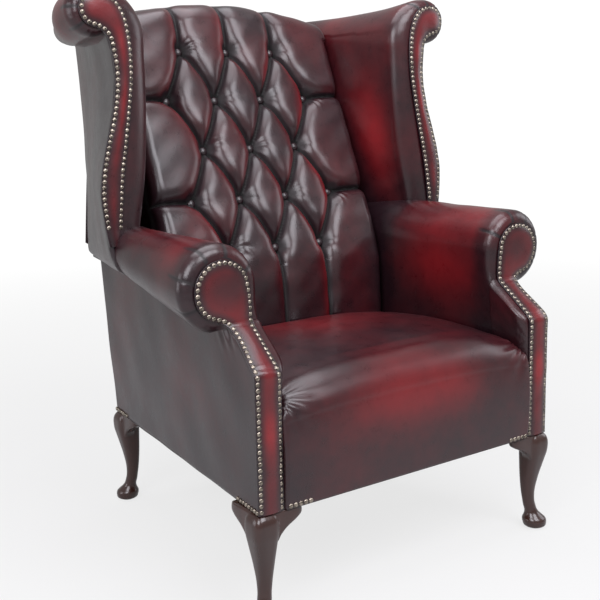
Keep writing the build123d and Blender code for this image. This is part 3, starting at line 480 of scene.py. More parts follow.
def puff(x, v, s):
    """Height share of the puffs: a product of (1 - exp(-distance / reach)) over all pleats,
    lifted along the pleats away from the buttons, with seeded wrinkles beside each button.
    Also the painted shade of a point, in a pleat or at a button."""
    lines, spots = pleat_lines(s), button_spots(s)
    point = space(x, v)
    shape, pleat = np.ones(v.shape), np.full(v.shape, np.inf)
    for start, end in lines:
        along = end - start
        t = np.clip(((point - start) @ along) / (along @ along), 0, 1)
        near = np.linalg.norm(point - start - t[..., None] * along, axis=-1)
        shape *= 1 - np.exp(-near / s.seam_width - (near / (2.6 * s.seam_width)) ** 2)
        pleat = np.minimum(pleat, near)
    delta = point[..., None, :] - spots
    away = np.linalg.norm(delta, axis=-1)
    button, nearest = away.argmin(-1), away.min(-1)
    angles = np.arctan2(delta[..., 1], delta[..., 0])
    turn = np.take_along_axis(angles, button[..., None], -1)[..., 0]
    draw = np.random.default_rng(17)
    strength = draw.uniform(0.25, 1.0, len(spots))[button]
    middle = draw.uniform(-1.5, 0.6, len(spots))[button]
    count = draw.integers(9, 16, len(spots))[button]
    reach = draw.uniform(18, 30, len(spots))[button]
    twist, wrinkle_height, wrinkle_width = 0.012, 0.021, 13
    facing = np.clip(np.cos((turn - middle) / 2), 0, 1) ** 6
    waves = np.sin(count * (turn + twist * nearest) + button)
    wrinkle = wrinkle_height * strength * facing * waves * hill(nearest - reach, wrinkle_width)
    lift_at_button, lift_more, lift_reach = 0.24, 0.26, 34
    lift = lift_at_button + lift_more * (1 - hill(nearest, lift_reach))
    groove_depth, groove_width = 0.09, 2.6
    groove = groove_depth * hill(pleat, groove_width)
    # Painted shade: dark along each pleat and round each button's pit.
    dark_width, button_dark, button_reach = 3.6, 0.8, 15
    dark = hill(pleat, dark_width) + button_dark * hill(nearest, button_reach, 4)
    return lift + (1 - lift) * shape**0.8 + wrinkle - groove, dark


def even_rows(half, count, close):
    """A column of places across a width, closer together towards its two ends."""
    across = np.sin(np.linspace(-np.pi / 2, np.pi / 2, count) * close)
    return (half * across / across[-1])[:, None]


def back_surface(s):
    """Closed rings across the back. Each ring runs up the raked face, round the crest,
    down behind it and back inside. The face is set in by the depth that puff() leaves.
    A part of the line is (y, z, distance v along it, and its outward normal)."""
    front_round, rear_round, lumbar_y, foot_z, panel, tail_z = 55, 22, 8, 334, 4.3, 990
    quarter = np.pi / 2
    along = np.array([np.sin(s.rake), np.cos(s.rake)])
    out = np.array([-np.cos(s.rake), np.sin(s.rake)])
    start = np.array([s.row_low_y, s.row_low]) + s.tuft_depth * out
    x = even_rows(s.back_half, 261, 0.985)
    crown = s.crest - (s.crest - s.crest_end) * (x / s.back_half) ** 2
    brow = (crown - front_round - start[1] + front_round * out[1]) / along[1]
    bend = (lumbar_y - start[0]) / along[0]
    bend_z = start[1] + bend * along[1]

    z = np.linspace(foot_z, bend_z, 46)[:-1]
    parts = [(lumbar_y, z, bend + z - bend_z, -1, 0)]
    v = bend + (brow - bend) * np.linspace(0, 1, 236)[:-1]
    parts.append((start[0] + v * along[0], start[1] + v * along[1], v, *out))
    turn = np.linspace(s.rake, quarter, 34)[:-1]
    middle_y, middle_z = (start[k] + brow * along[k] - front_round * out[k] for k in (0, 1))
    y, z = middle_y - front_round * np.cos(turn), middle_z + front_round * np.sin(turn)
    parts.append((y, z, brow + front_round * (turn - s.rake), -np.cos(turn), np.sin(turn)))
    rear_z = crown - rear_round
    rear_y = rear_line(rear_z) - panel - rear_round
    reach = brow + front_round * (quarter - s.rake)
    y = middle_y + (rear_y - middle_y) * np.linspace(0, 1, 10)[:-1]
    parts.append((y, crown, reach + y - middle_y, 0, 1))
    turn = np.linspace(quarter, np.pi, 12)[:-1]
    v = reach + rear_y - middle_y + rear_round * (turn - quarter)
    y, z = rear_y - rear_round * np.cos(turn), rear_z + rear_round * np.sin(turn)
    parts.append((y, z, v, -np.cos(turn), np.sin(turn)))
    z = rear_z + (tail_z - rear_z) * np.linspace(0, 1, 8)
    parts.append((rear_line(z) - panel, z, v[:, -1:] + rear_z - z, 1, 0))
    line = np.concatenate([space(0 * x, *part)[..., 1:] for part in parts], 1)
    y, z, v, normal_y, normal_z = np.moveaxis(line, -1, 0)

    height, dark = puff(x, v, s)
    crest_fade, foot_fade, least_fade = 95, 190, 0.45
    fade = np.where(v <= brow, 1, ramp(v, brow + crest_fade, brow) ** 0.8)
    fade *= np.maximum(ramp(v, bend - foot_fade, bend), least_fade)
    round_off = 45
    y = y + round_off * np.tan(s.rake / 2) * np.exp(-np.abs(v - bend) / round_off)
    face_round, crest_round, uneven = 24, 12, 0.7
    edge = s.back_half - np.abs(x)
    inward = s.tuft_depth * (1 - height) * fade
    inward = inward + draw_in(edge, np.where(v < brow, face_round, crest_round))
    inward = inward + uneven * wave_noise(space(x, v, 0), 60, 3) + uneven
    inner = np.array([[340, 985], [300, 900], [190, 600], [80, 334]], float)
    outside = space(x, y - normal_y * inward, z - normal_z * inward)
    rings = np.concatenate([outside, space(x, inner[:, 0], inner[:, 1])], 1)

    high = np.clip(height, 0, 1) ** 2.2
    patch = 0.5 + 0.5 * wave_noise(space(x, v, 0), 190, 8)
    warm = 1 / (1 + np.exp(-(x - 60) / 60))
    slope = np.clip(-np.gradient(height, axis=0) / np.gradient(x, axis=0) * 70, 0, 1)
    # Painted light: red on the high slopes of the puffs that fall away towards +X, more on the
    # right half.
    glow = slope * np.clip(height * 1.3, 0, 1) * (0.4 + 0.6 * patch)
    wear_and_shading = 0.10 + ramp(edge, 0, 60) * (0.16 * patch * high + (0.30 + 0.45 * warm) * glow)
    dark = np.clip(dark, 0, 1)
    # Painted shade: along the pleats and round the buttons the attribute turns negative.
    wear_and_shading = wear_and_shading * (1 - dark) - dark
    return rings, np.pad(wear_and_shading, ((0, 0), (0, len(inner))))


def rear_line(z):
    """Depth of the chair's rear face at a height: a straight lean with a shallow bow."""
    low, high, rear, lean, bow = 200, 1042, 293, 101, 18
    t = (z - low) / (high - low)
    return rear + lean * t + bow * 4 * t * (1 - t)


# The seat


def seat_surface(s):
    """Closed rings across the seat. Each runs up the border, over the rounded front and the
    crown to the back, and returns inside; its sides fall away and round off. Folds fan out
    from the front corners, and the rear corners are gathered."""
    front, low, shoulder, nose, swell = -393.2, 200.5, 358, 62, 5
    crown_y, rear_y, rear_drop = -150, 7, 19
    face_z = np.linspace(low, shoulder, 40)[:-1]
    bulge = np.sin(np.pi * ramp(face_z, low, shoulder)) ** 0.8
    face = space(front + swell - swell * bulge, face_z)
    arc = ring_arc(front + swell + nose, shoulder, nose, nose, 180, 90, 34)
    top_y, top_z = arc[-1]
    y = np.linspace(top_y, rear_y, 90)[1:]
    fore = ((y - crown_y) / (top_y - crown_y)) ** 2 * (s.seat_crown - top_z)
    aft = ((y - crown_y) / (rear_y - crown_y)) ** 2 * rear_drop
    top = space(y, s.seat_crown - np.where(y < crown_y, fore, aft))
    inner = np.array([[rear_y, 340], [-200, 320], [-375, 320], [-384, low]], float)
    y, z = np.concatenate([face, arc, top, inner]).T
    u = even_rows(1, 161, 0.97)
    half = np.interp(y, [-384, -362, rear_y], [s.seat_half, 279, 267.5])
    x = u * half
    edge = (1 - np.abs(u)) * half
    upper = ramp(z, shoulder, shoulder + nose)
    fall = 26 * np.abs(u) ** 3 * ramp(z, 300, top_z) + draw_in(edge, 16) * upper
    y = y + draw_in(edge, 7) * (1 - upper) * (y < -370)
    p = space(x, y, z - fall)
    soft = wave_noise(p, 210, 21) * 1.5 + wave_noise(p, 75, 22) * 0.5
    gather_x, gather_y, gather_reach, gather_depth, gather_width = 255, -25, 60, 2.2, 5.5
    corner = hill(p[..., 0] - gather_x * np.sign(x), gather_reach)
    corner = corner * hill(y - gather_y, gather_reach)
    gathers = 0.5 + 0.5 * np.sin((np.abs(x) + 1.1 * y) / gather_width)
    sunk, lowest = 1.4, 330
    p[..., 2] += (soft - gather_depth * corner * gathers - sunk) * upper * (z > lowest)
    corner_y, corner_z = -372, 392
    reach_x = s.seat_half - np.abs(p[..., 0])
    reach = np.stack([reach_x, p[..., 1] - corner_y, p[..., 2] - corner_z], -1)
    away = np.linalg.norm(reach, axis=-1)
    fan = np.arctan2(reach[..., 2] + 0.8 * reach[..., 1], reach[..., 0])
    folds, fold_from, fold_reach, fold_end = 13, 10, 62, -250
    fold = np.sin(folds * fan) * ramp(away, 0, fold_from) * hill(away, fold_reach)
    fold = fold * (y < fold_end)
    p[..., 1] -= 1.2 * fold
    p[..., 2] += 1.5 * fold
    worn_x, worn_half, worn_z, worn_rise = 20, 165, 345, 62
    front_red = hill(x - worn_x, worn_half, 4) * hill(z - worn_z, worn_rise) * (y < -300)
    front_red = front_red * (0.85 + 0.15 * wave_noise(p, 190, 15))
    rear_x, rear_half, sat_y, sat_reach = -30, 190, -60, 110
    rear_red = hill(x - rear_x, rear_half) * hill(y - sat_y, sat_reach) * upper
    return p, 0.19 + 0.72 * front_red + 0.42 * rear_red + 0.10 * wave_noise(p, 260, 5)


# The arms

FACING_Y, REAR_Y = -384, 293
ARM_FRONT, WING_Y, ARM_REAR = -296, -7, 130
ARM_FOOT_Z, ARM_SHOULDER_Z = 350, 560


def side_line(y):
    """Outside of the lower side panel at a depth."""
    front, rear = 341, 268
    return front - (front - rear) * (y - FACING_Y) / (REAR_Y - FACING_Y)


def arm_share(y):
    """Share of the way back along the arm's inner face."""
    return (y - FACING_Y) / (ARM_REAR - FACING_Y)


def arm_face_x(y, z):
    """Inner face of the arm: it leans in towards the top, with a slight hollow in front."""
    foot_x, taper, lean, hollow, lean_z = 283, 20, 13, 4, 385
    along = arm_share(y)
    rise = ramp(z, lean_z, ARM_SHOULDER_Z)
    inward = lean * rise + hollow * np.sin(np.pi * rise)
    return foot_x - taper * along - (1 - along) * inward


def arm_roll_size(y, s):
    """Radius of the arm's roll and its outside at a depth, both less towards the rear."""
    wing_radius, rear_radius = 46, 38
    front_outer, wing_outer, rear_outer = 420, 392, 354
    near, far = ramp(y, -300, WING_Y), ramp(y, WING_Y, ARM_REAR)
    radius = s.arm_roll + (wing_radius - s.arm_roll) * near + (rear_radius - wing_radius) * far
    outer = front_outer + (wing_outer - front_outer) * near + (rear_outer - wing_outer) * far
    return radius, outer


def arm_rings(s):
    """Rings behind each other along the arm: inner face, shoulder, roll, and back inside.
    The roll tapers towards the wing, and the front edge rolls in with gathers and darts."""
    draw = 21
    edge = 1 - np.cos(np.linspace(0, np.pi / 2, 14))
    back = np.linspace(0, 1, 60)[1:] ** 1.15
    first = ARM_FRONT + draw
    y = np.r_[ARM_FRONT + draw * edge, first + (ARM_REAR - first) * back][:, None]
    inset = draw_in(y - ARM_FRONT, draw)
    radius, outer = arm_roll_size(y, s)
    along = arm_share(y)
    side = arm_face_x(y, ARM_SHOULDER_Z)
    z = ARM_FOOT_Z + (ARM_SHOULDER_Z - ARM_FOOT_Z) * np.linspace(0, 1, 30)[:-1]
    held_from, held_full = 478, 538
    held = ramp(z, held_from, held_full)
    face = space(arm_face_x(y, z) + inset * held**2 * (3 - 2 * held), z)
    shoulder_x, shoulder_z = outer - radius - side - inset, s.arm_height - ARM_SHOULDER_Z - inset
    over = ring_arc(outer - radius, ARM_SHOULDER_Z, shoulder_x, shoulder_z, 180, 90, 36)
    round_x, round_z, small = outer - radius, s.arm_height - radius, radius - inset
    roll = ring_arc(round_x, round_z, small, small, 90, -75, 70)[:, 1:]
    wall = side_line(y) - 6
    under_x = np.hstack([np.minimum(roll[:, -1, :1], wall), wall - 3, wall - 3])
    under_z = np.hstack([roll[:, -1, 1:] + 3, 0 * wall + 470, 0 * wall + ARM_FOOT_Z])
    flat = np.concatenate([face, over, roll, space(under_x, under_z)], 1)
    p = space(flat[..., 0], y, flat[..., 1])
    ray_x, ray_z = p[..., 0] - round_x, p[..., 2] - round_z
    turn, reach = np.arctan2(ray_z, ray_x), np.maximum(np.hypot(ray_x, ray_z), 1)
    under_roll, on_top = 470, 510
    on_roll = ramp(p[..., 2], under_roll, on_top)
    near = y - ARM_FRONT
    dart_width, dart_depth = 2.2, 1.5
    places = ((150, 42), (100, 52), (62, 60), (18, 56), (-28, 50))
    dart = darts(turn, reach, near, dart_width, places)
    gathers, gather_height, gather_reach = 30, 0.22, 16
    gather = gather_height * np.exp(-near / gather_reach) * np.sin(gathers * turn)
    uneven, sunk = 0.9, 0.6
    shift = on_roll * (gather - dart_depth * dart) + wave_noise(p, 120, 31) * uneven - sunk
    p[..., 0] += ray_x / reach * shift
    p[..., 2] += ray_z / reach * shift
    top = hill(turn - 1.7, 1.1)
    face = hill(p[..., 2] - 530, 85) * (ray_x < 0) * hill(along - 0.44, 0.23)
    wear_and_shading = 0.14 + 0.48 * top * (0.55 + 0.45 * wave_noise(p, 170, 6)) + 0.72 * face
    wear_and_shading *= np.maximum(ramp(y, -300, -240), 0.45) * np.maximum(ramp(y, 40, -20), 0.15)
    # Painted shade in the darts on the roll.
    return p, wear_and_shading - 0.8 * on_roll * dart


def arm_front_y(z):
    """Depth of the arm's front at a height: upright, slope and upright again, as a mean of
    the straight line over a few millimetres so that the knee and the neck are rounded."""
    at = np.asarray(z, float)[..., None] + np.linspace(-9, 9, 19)
    line = np.interp(at, [190, 438, 503, 700], [FACING_Y, FACING_Y, -300, -300])
    return line.mean(-1)


def arm_lower_rings():
    """The arm in front of its scroll: upright rings under the slope from the knee to the neck."""
    first = -379.5
    y = np.r_[np.linspace(first, -374, 6), np.linspace(-370, ARM_FRONT, 40)][:, None]
    z = np.linspace(430, 520, 400)
    behind, highest, draw, draw_reach = 4.5, 505, 7, 18
    slope = np.minimum(np.interp(y, arm_front_y(z) + behind, z), highest)
    rise = np.linspace(0, 1, 24)
    z = ARM_FOOT_Z + (slope - ARM_FOOT_Z) * rise
    x = arm_face_x(y, z) + draw * ramp(y, first + draw_reach, first) ** 1.6
    x = x + draw_in((1 - rise) * (slope - ARM_FOOT_Z), draw)
    wall = side_line(y) - 6
    x = np.hstack([x, wall, wall])
    z = np.hstack([z, slope, 0 * slope + ARM_FOOT_Z])
    p = space(x, y, z)
    fan = np.arctan2(z - 372, y + 400)
    p[..., 0] -= 0.6 * np.sin(26 * fan) * ramp(z, 380, 440) * (x < 300)
    return p, 0.12 + 0.12 * hill(z - 470, 30)


# The wings

WING_FOOT_Z, WING_LEAN = 637, 19 / 433

# Distance back in the wing's plane; roll's centre, radius and top; inner face at foot, waist, brow
WING_STATIONS = np.array(
    [
        (31, 393, 47, 1070, 330, 303, 291),
        (105, 386, 44, 1059, 300, 284, 279),
        (195, 353, 39, 1049, 268, 265, 266),
        (374, 291, 28, 1040, 263, 261, 262),
    ],
    float,
)

# Height, and the outside of the wing there at its facing and at its rear edge
WING_WALL = np.array(
    [
        (546, 357, 286), (552, 374, 286), (560, 386, 286), (570, 393, 285), (582, 397, 284),
        (600, 401, 282), (640, 406, 277), (710, 409.5, 270), (745, 403, 270), (790, 391, 269),
        (850, 374, 269), (905, 366, 269), (950, 369, 270), (980, 377, 271), (1000, 381, 272),
    ]
)


def wing_front_y(z):
    """Depth of the wing's leaning front at a height."""
    return WING_Y + WING_LEAN * (z - WING_FOOT_Z)


def wing_wall(z, share):
    """Outside of the wing at a height, on the way from its facing to the rear edge."""
    front, rear = (np.interp(z, WING_WALL[:, 0], WING_WALL[:, k]) for k in (1, 2))
    return front + (rear - front) * share


def wing_rings():
    """Sections behind each other through the wing: inner face, brow, top roll and back inside.
    The front edge rolls in by a band that follows a quarter round."""
    quarter = np.linspace(0, np.pi / 2, 16)
    edge, first, last = 4, 31, 374
    foot_up, waist_up, brow_up = 600, 800, 975
    back = first + (last - first) * np.linspace(0, 1, 66)[1:]
    depth = np.r_[edge + (first - edge) * (1 - np.cos(quarter)), back][:, None]
    drawn = np.r_[1 - np.sin(quarter), 0 * back][:, None]
    band, draw = 42 * drawn, 15 * drawn
    stations = WING_STATIONS[:, 0]
    centre, radius, top, foot, waist, brow = smooth(
        np.maximum(depth[:, 0], first), stations, WING_STATIONS[:, 1:]
    ).T[..., None]

    def inner_face(up):
        """The inner face at heights, by section."""
        rows = np.stack([foot, waist, brow])[..., 0]
        return smooth(up, [foot_up, waist_up, brow_up], rows).T + band

    up = np.linspace(foot_up, brow_up, 60)[:-1]
    hollow = 4 * np.sin(np.pi * ramp(up, foot_up, brow_up)) * (1 - drawn)
    face = space(inner_face(up) - hollow, up)
    reach_x, reach_z = centre - brow - band, top - draw - brow_up
    over = ring_arc(centre, brow_up, reach_x, reach_z, 180, 90, 40)
    small = radius - draw
    roll = ring_arc(centre, top - radius, small, small, 90, -112, 60)[:, 1:]
    up = np.array([965, 905, 850, 790, 710, 640, foot_up])
    inside_x = np.maximum(wing_wall(up, depth / 390) - 16, inner_face(up) + 3)
    ring = np.concatenate([face, over, roll, space(inside_x, up)], 1)
    height = ring[..., 1] / np.hypot(1, WING_LEAN)
    y = np.minimum(wing_front_y(height) + depth, rear_line(height) - 16)
    p = space(ring[..., 0], y, height)

    centre_x = np.interp(depth, stations, WING_STATIONS[:, 1])
    centre_z = np.interp(depth, stations, WING_STATIONS[:, 3] - WING_STATIONS[:, 2])
    ray_x, ray_z = p[..., 0] - centre_x, height - centre_z
    turn, reach = np.arctan2(ray_z, ray_x), np.maximum(np.hypot(ray_x, ray_z), 1)
    near = depth - edge
    dart_width, dart_depth = 2.0, 1.4
    places = ((140, 60), (96, 60), (50, 55), (5, 50), (-45, 45))
    dart = darts(turn, reach, near, dart_width, places)
    gathers, gather_height, gather_reach = 26, 0.45, 12
    gather = np.sin(gathers * turn) * np.exp(-near / gather_reach) * gather_height
    under_roll, on_top = 960, 990
    on_roll = ramp(height, under_roll, on_top)
    shift = on_roll * (gather - dart_depth * dart)
    p[..., 0] += ray_x / reach * shift
    p[..., 2] += ray_z / reach * shift
    z = p[..., 2]
    soft = wave_noise(p, 170, 41) * 1.1 - 0.7
    p[..., 0] += np.where(p[..., 0] < centre_x, -soft, 0) * (z < 1000)
    lean = 0.00105 * (z - 640)
    along = ramp(depth, first, last)
    middle = hill(z - 800, 130) * hill(along - 0.09 - 0.35 * lean, 0.09 + 0.3 * lean)
    upper = ramp(z, 880, 1030) ** 1.5
    wear_and_shading = 0.14 + 0.85 * middle + 0.42 * upper * (0.6 + 0.4 * wave_noise(p, 120, 9))
    # Painted shade in the darts on the top roll.
    return p, wear_and_shading * np.clip(near / 24, 0.55, 1) - 0.8 * on_roll * dart


# Facings and outside panels

ARM_INNER = [
    (291, 201), (291, 320), (291, 440), (291, 560), (295, 580), (306, 597), (324, 608),
    (343, 612),
]
ARM_OUTER = [
    (341, 201), (341, 320), (341, 440), (341, 504), (352, 509), (369, 515), (385, 529),
    (393, 545), (395, 560), (391, 580), (380, 597), (362, 608), (343, 612),
]
WING_INNER = [
    (374, 606), (371, 650), (365, 705), (359, 745), (350, 790), (337, 863), (331, 905), (330, 965),
    (333, 992), (338, 1012), (346, 1029), (357, 1042), (373, 1051), (393, 1055),
]
WING_OUTER = [
    (400, 606), (406, 650), (409, 705), (403, 745), (391, 790), (374, 850), (366, 905), (369, 950),
    (376, 978), (384, 986), (396, 991), (411, 996), (421, 1007), (425, 1023), (421, 1039),
    (411, 1049), (393, 1055),
]
FACINGS = (("arm", ARM_INNER, ARM_OUTER), ("wing", WING_INNER, WING_OUTER))


def outline(points, count):
    """Evenly spaced points of a facing's edge, smoothed, as (count, 2)."""
    run = run_along(np.asarray(points, float))
    return smooth(np.linspace(0, run[-1], count), run, points)


def facing_front(kind, z):
    """Depth of a facing's face and its outward normal in the YZ plane, at heights."""
    front = arm_front_y if kind == "arm" else wing_front_y
    normal = space(-1.0, front(z + 1) - front(z))
    return front(z), normal / np.linalg.norm(normal, axis=-1, keepdims=True)


def padding(edge):
    """Height of a lightly padded facing at a distance from its outline."""
    rim, rise, border, reach = 0.6, 4.4, 3, 10
    return rim + rise * (1 - np.exp(-np.maximum(edge - border, 0) / reach))


def facing_rings(kind, inner, outer):
    """Rows across a facing, each padded by its distance from the outline and closed behind.
    The arm's has pressed folds, each (height, depth), at its knee and neck."""
    inner, outer = outline(inner, 500), outline(outer, 500)
    low, high = inner[0, 1], inner[-1, 1]
    finer, thick = 0.72, 4
    top = finer + (1 - finer) * np.sin(np.linspace(0, np.pi / 2, 60))
    rise = np.r_[np.linspace(0, finer, 150)[:-1], top]
    z = (low + (high - low) * np.minimum(rise, 0.9995))[:, None]
    left = np.interp(z, inner[:, 1], inner[:, 0])
    right = np.interp(z, np.maximum.accumulate(outer[:, 1]), outer[:, 0])
    x = left + (right - left) * (1 - np.cos(np.linspace(0, np.pi, 26))) / 2
    border = np.concatenate([inner, outer[::-1]])
    edge = np.linalg.norm(space(x, z)[:, :, None] - border, axis=-1).min(-1)
    height = padding(edge)
    if kind == "arm":
        folds, slant, middle, width = ((441, 1.6), (500, 2.2), (506, 1.0)), 0.10, 316, 2.4
        for fold, depth in folds:
            skew = z - fold - slant * (x - middle)
            height = height - depth * hill(skew, width) * ramp(edge, 4, 12)
    height = height + 0.35 * wave_noise(space(x, z, 0), 45, 51)
    y, normal = facing_front(kind, z[:, 0])
    y, out_y, out_z = y[:, None], normal[:, :1], normal[:, 1:]
    face = space(x, y + out_y * height, z + out_z * height)
    behind = space(np.hstack([right, left]), y - thick * out_y, z - thick * out_z)
    patch = 0.5 + 0.5 * wave_noise(space(x, 2.2 * z, 0), 210, 52)
    wear_and_shading = 0.06 + 0.8 * ramp(edge, 5, 19) * (0.25 + 0.75 * patch)
    return np.concatenate([face, behind], 1), np.pad(wear_and_shading, ((0, 0), (0, 2)))


def arm_side_rings(s):
    """Outside of the arm: upright strips from front to rear, each padded a little, whose tops
    follow the slope in front and tuck up under the roll behind."""
    low, neck, thick = 200.6, -303, 9
    front = -383.4 + 6 * (1 - np.cos(np.linspace(0, np.pi / 2, 8)))
    rear = 287 + 5 * np.sin(np.linspace(0.2, np.pi / 2, 6))
    y = np.r_[front, np.linspace(-376, 287, 110), rear][:, None]
    z = np.linspace(436, 512, 400)
    slope = np.interp(y, arm_front_y(z), z) - 1.0
    radius, outer = arm_roll_size(np.minimum(y, WING_Y), s)
    reach = np.sqrt(np.maximum(radius**2 - (side_line(y) - 5 - outer + radius) ** 2, 0))
    tuck = s.arm_height - radius - reach + 14
    top = np.where(y < neck, slope, np.where(y < 20, tuck, 600))
    rise = np.linspace(0, 1, 70)
    height = low + (top - low) * rise
    along = ramp(y, FACING_Y, 292)
    bulge = 2.2 * np.sin(np.pi * ramp(height, 200, 580)) * np.sin(np.pi * along)
    rounding = draw_in((1 - rise) * (top - low), 9) * (y < neck)
    ends = draw_in(np.minimum(y - FACING_Y, 292.5 - y), 5)
    depth = y + along**2 * (rear_line(height) - REAR_Y - 1.5)
    x = side_line(depth) + bulge - rounding * 0.8 - ends - draw_in(height - 200, 3.5)
    ripple = wave_noise(space(x, depth, height), 150, 61)
    fold = hill(y + 285, 26) * hill(height - 490, 22)
    x = x + 0.8 * ripple - 0.8 + 2.5 * fold * np.sin((height - 1.4 * y) / 6.0)
    face = space(x, depth, height)
    inner = face[:, [-1, 0]] - (thick, 0, 0)
    wear_and_shading = 0.10 + 0.08 * wave_noise(face, 260, 62)
    return np.concatenate([face, inner], 1), np.pad(wear_and_shading, ((0, 0), (0, 2)))


def wing_side_rings():
    """Outside of the wing: rows from front to rear, which swell above the arm and draw in
    below it, so that the lower end wraps round the arm's side."""
    low = 536
    z = np.r_[np.linspace(low, 600, 60), np.linspace(604, 1000, 90)][:, None]
    front, rear = wing_wall(z, 0) - 0.5, wing_wall(z, 1)
    front_y, rear_y = wing_front_y(z) + 0.5, rear_line(z) - 2
    share = (1 - np.cos(np.linspace(0, np.pi, 60))) / 2
    y = front_y + (rear_y - front_y) * share
    x = front + (rear - front) * share + 5 * np.sin(np.pi * share) ** 0.8
    wrap = np.sqrt(1 - (1 - ramp(z, low, low + 18)) ** 2)
    base = side_line(y) - 3
    x = base + (np.maximum(x, base + 4) - base) * wrap
    x = x - draw_in(np.minimum(y - front_y, rear_y - y), 8)
    p = space(x, y, z)
    pleat = hill(y + 2, 15) * hill(z - 600, 30)
    pleat = pleat * (0.5 + 0.5 * np.sin((y + 0.25 * z) / 2.2))
    p[..., 0] += 0.9 * wave_noise(p, 150, 71) - 2.4 * pleat
    inner = np.maximum(front - 14, side_line(front_y) - 9)
    behind = space(np.hstack([rear - 9, inner]), np.hstack([rear_y - 2, front_y + 5]), z)
    wear_and_shading = 0.08 + 0.10 * wave_noise(p, 240, 72)
    return np.concatenate([p, behind], 1), np.pad(wear_and_shading, ((0, 0), (0, 2)))


# Nails

NAIL_Z = 206


def facing_nails(kind, inner, outer, s):
    """Nails along both edges of a facing, set in from its outline."""
    proud, lowest = 0.9, {"arm": NAIL_Z, "wing": 640}[kind]
    line = np.concatenate([outline(inner, 300), outline(outer, 300)[::-1][1:]])
    ahead = np.gradient(line, axis=0)
    ahead /= np.linalg.norm(ahead, axis=1, keepdims=True)
    line = line + s.nail_radius * 1.12 * space(ahead[:, 1], -ahead[:, 0])
    x, z = line[line[:, 1] > lowest].T
    run = run_along(space(x, arm_front_y(z), z) if kind == "arm" else space(x, z))
    at = np.linspace(0, run[-1], int(round(run[-1] / s.nail_pitch)) + 1)
    x, z = np.interp(at, run, x), np.interp(at, run, z)
    y, normal = facing_front(kind, z)
    out_y, out_z = normal.T
    return space(x, y + proud * out_y, z + proud * out_z), space(0, out_y, out_z)


def all_nails(s):
    """Places and normals of one side's nail heads: both facings, and rows above the legs."""
    rows = [facing_nails(*facing, s) for facing in FACINGS]
    for first, last, y in ((306, 332, -384.4), (240, 289, -389.2)):
        x = np.arange(first, last, s.nail_pitch)
        rows.append((space(x, y, NAIL_Z), space(0 * x, -1, 0)))
    for first, last in ((-379, -300), (228, 290)):
        y = np.arange(first, last, s.nail_pitch)
        rows.append((space(side_line(y) + 0.4, y, NAIL_Z), space(0 * y + 1, 0.1, 0)))
    return (np.concatenate(part) for part in zip(*rows))


# The legs

# Height, half width, shift outward, length of the ears
LEG_ROWS = np.array(
    [
        (0, 14, 8, 0), (3, 20, 8, 0), (10, 23.5, 7.5, 0), (19, 23, 6, 0), (25, 18.5, 4, 0),
        (31, 14.5, 1.5, 0), (48, 12.3, -4, 0), (70, 12.8, -7, 0), (105, 16.5, -6, 0),
        (135, 20.5, -2.5, 14), (150, 22.5, -0.5, 22), (162, 24, 1, 31), (172, 24.5, 1.5, 45),
        (180, 24.5, 1.5, 62), (186, 24, 1.2, 71), (194, 21.5, 0.5, 73), (200, 17.5, -0.5, 71),
    ],
    float,
)


def box_reach(way, low, high):
    """Distance from the origin to a box's edge along unit directions, the origin inside it."""
    with np.errstate(divide="ignore", invalid="ignore"):
        span = np.where(way > 0, high / way, low / way)
    return np.where(np.abs(way) < 1e-6, np.inf, span).min(-1)


def leg_rings(x, y, y_sign):
    """Cabriole leg: rounded square rings, wider at the knee and drawn in at the ankle, with
    an ear along each rail. The foot and the knee lean outward on the diagonal."""
    ear_back, ear_face, heel, softenings = -4.01, 17, 8, 6
    z = np.r_[np.linspace(0, 40, 30)[:-1], np.linspace(40, 200, 70)]
    half, shift, ear = smooth(z, LEG_ROWS[:, 0], LEG_ROWS[:, 1:]).T[..., None]
    turn = np.linspace(0, 2 * np.pi, 192, endpoint=False)
    way = space(np.cos(turn), np.sin(turn))
    power = 2 + 1.6 * ramp(z, 60, 180)[:, None]
    reach = half / (np.abs(way) ** power[..., None]).sum(-1) ** (1 / power)
    ear_end = -ear - 0.01
    along_x = box_reach(way, space(ear_end, ear_back), np.array([heel, ear_face]))
    along_y = box_reach(way, space(ear_back, ear_end), np.array([ear_face, heel]))
    eared = np.maximum(reach, np.maximum(along_x, along_y))
    reach = np.where(ear > half, eared, reach)
    for _ in range(softenings):
        reach = (np.roll(reach, 1, 1) + 2 * reach + np.roll(reach, -1, 1)) / 4
    lean = shift / np.sqrt(2)
    out_x, out_y = reach * way[:, 0] + lean, reach * way[:, 1] + lean
    return space(x + out_x, y + y_sign * out_y, z[:, None])


# Operators, one for each piece or group of like pieces

PLAIN_FINISHES = {
    "beech": {
        "tones": ((0.36, 0.23, 0.12), (0.55, 0.39, 0.23)),
        "scale": 40.0,
        "roughness": 0.6,
        "stretch": (1.0, 0.1, 1.0),
    },
    "foam": {
        "tones": ((0.62, 0.58, 0.45), (0.75, 0.71, 0.58)),
        "scale": 220.0,
        "roughness": 0.9,
    },
    "hessian": {
        "tones": ((0.28, 0.20, 0.11), (0.47, 0.36, 0.22)),
        "scale": 90.0,
        "roughness": 0.95,
        "weave": 420.0,
    },
    "webbing": {
        "tones": ((0.16, 0.11, 0.07), (0.30, 0.21, 0.13)),
        "scale": 90.0,
        "roughness": 0.9,
        "weave": 300.0,
    },
    "black_lining": {
        "tones": ((0.008, 0.008, 0.009), (0.02, 0.02, 0.022)),
        "scale": 150.0,
        "roughness": 0.9,
        "weave": 600.0,
    },
    "spring_steel": {
        "tones": ((0.25, 0.25, 0.26), (0.5, 0.5, 0.52)),
        "scale": 120.0,
        "roughness": 0.35,
        "metallic": 1.0,
    },
}


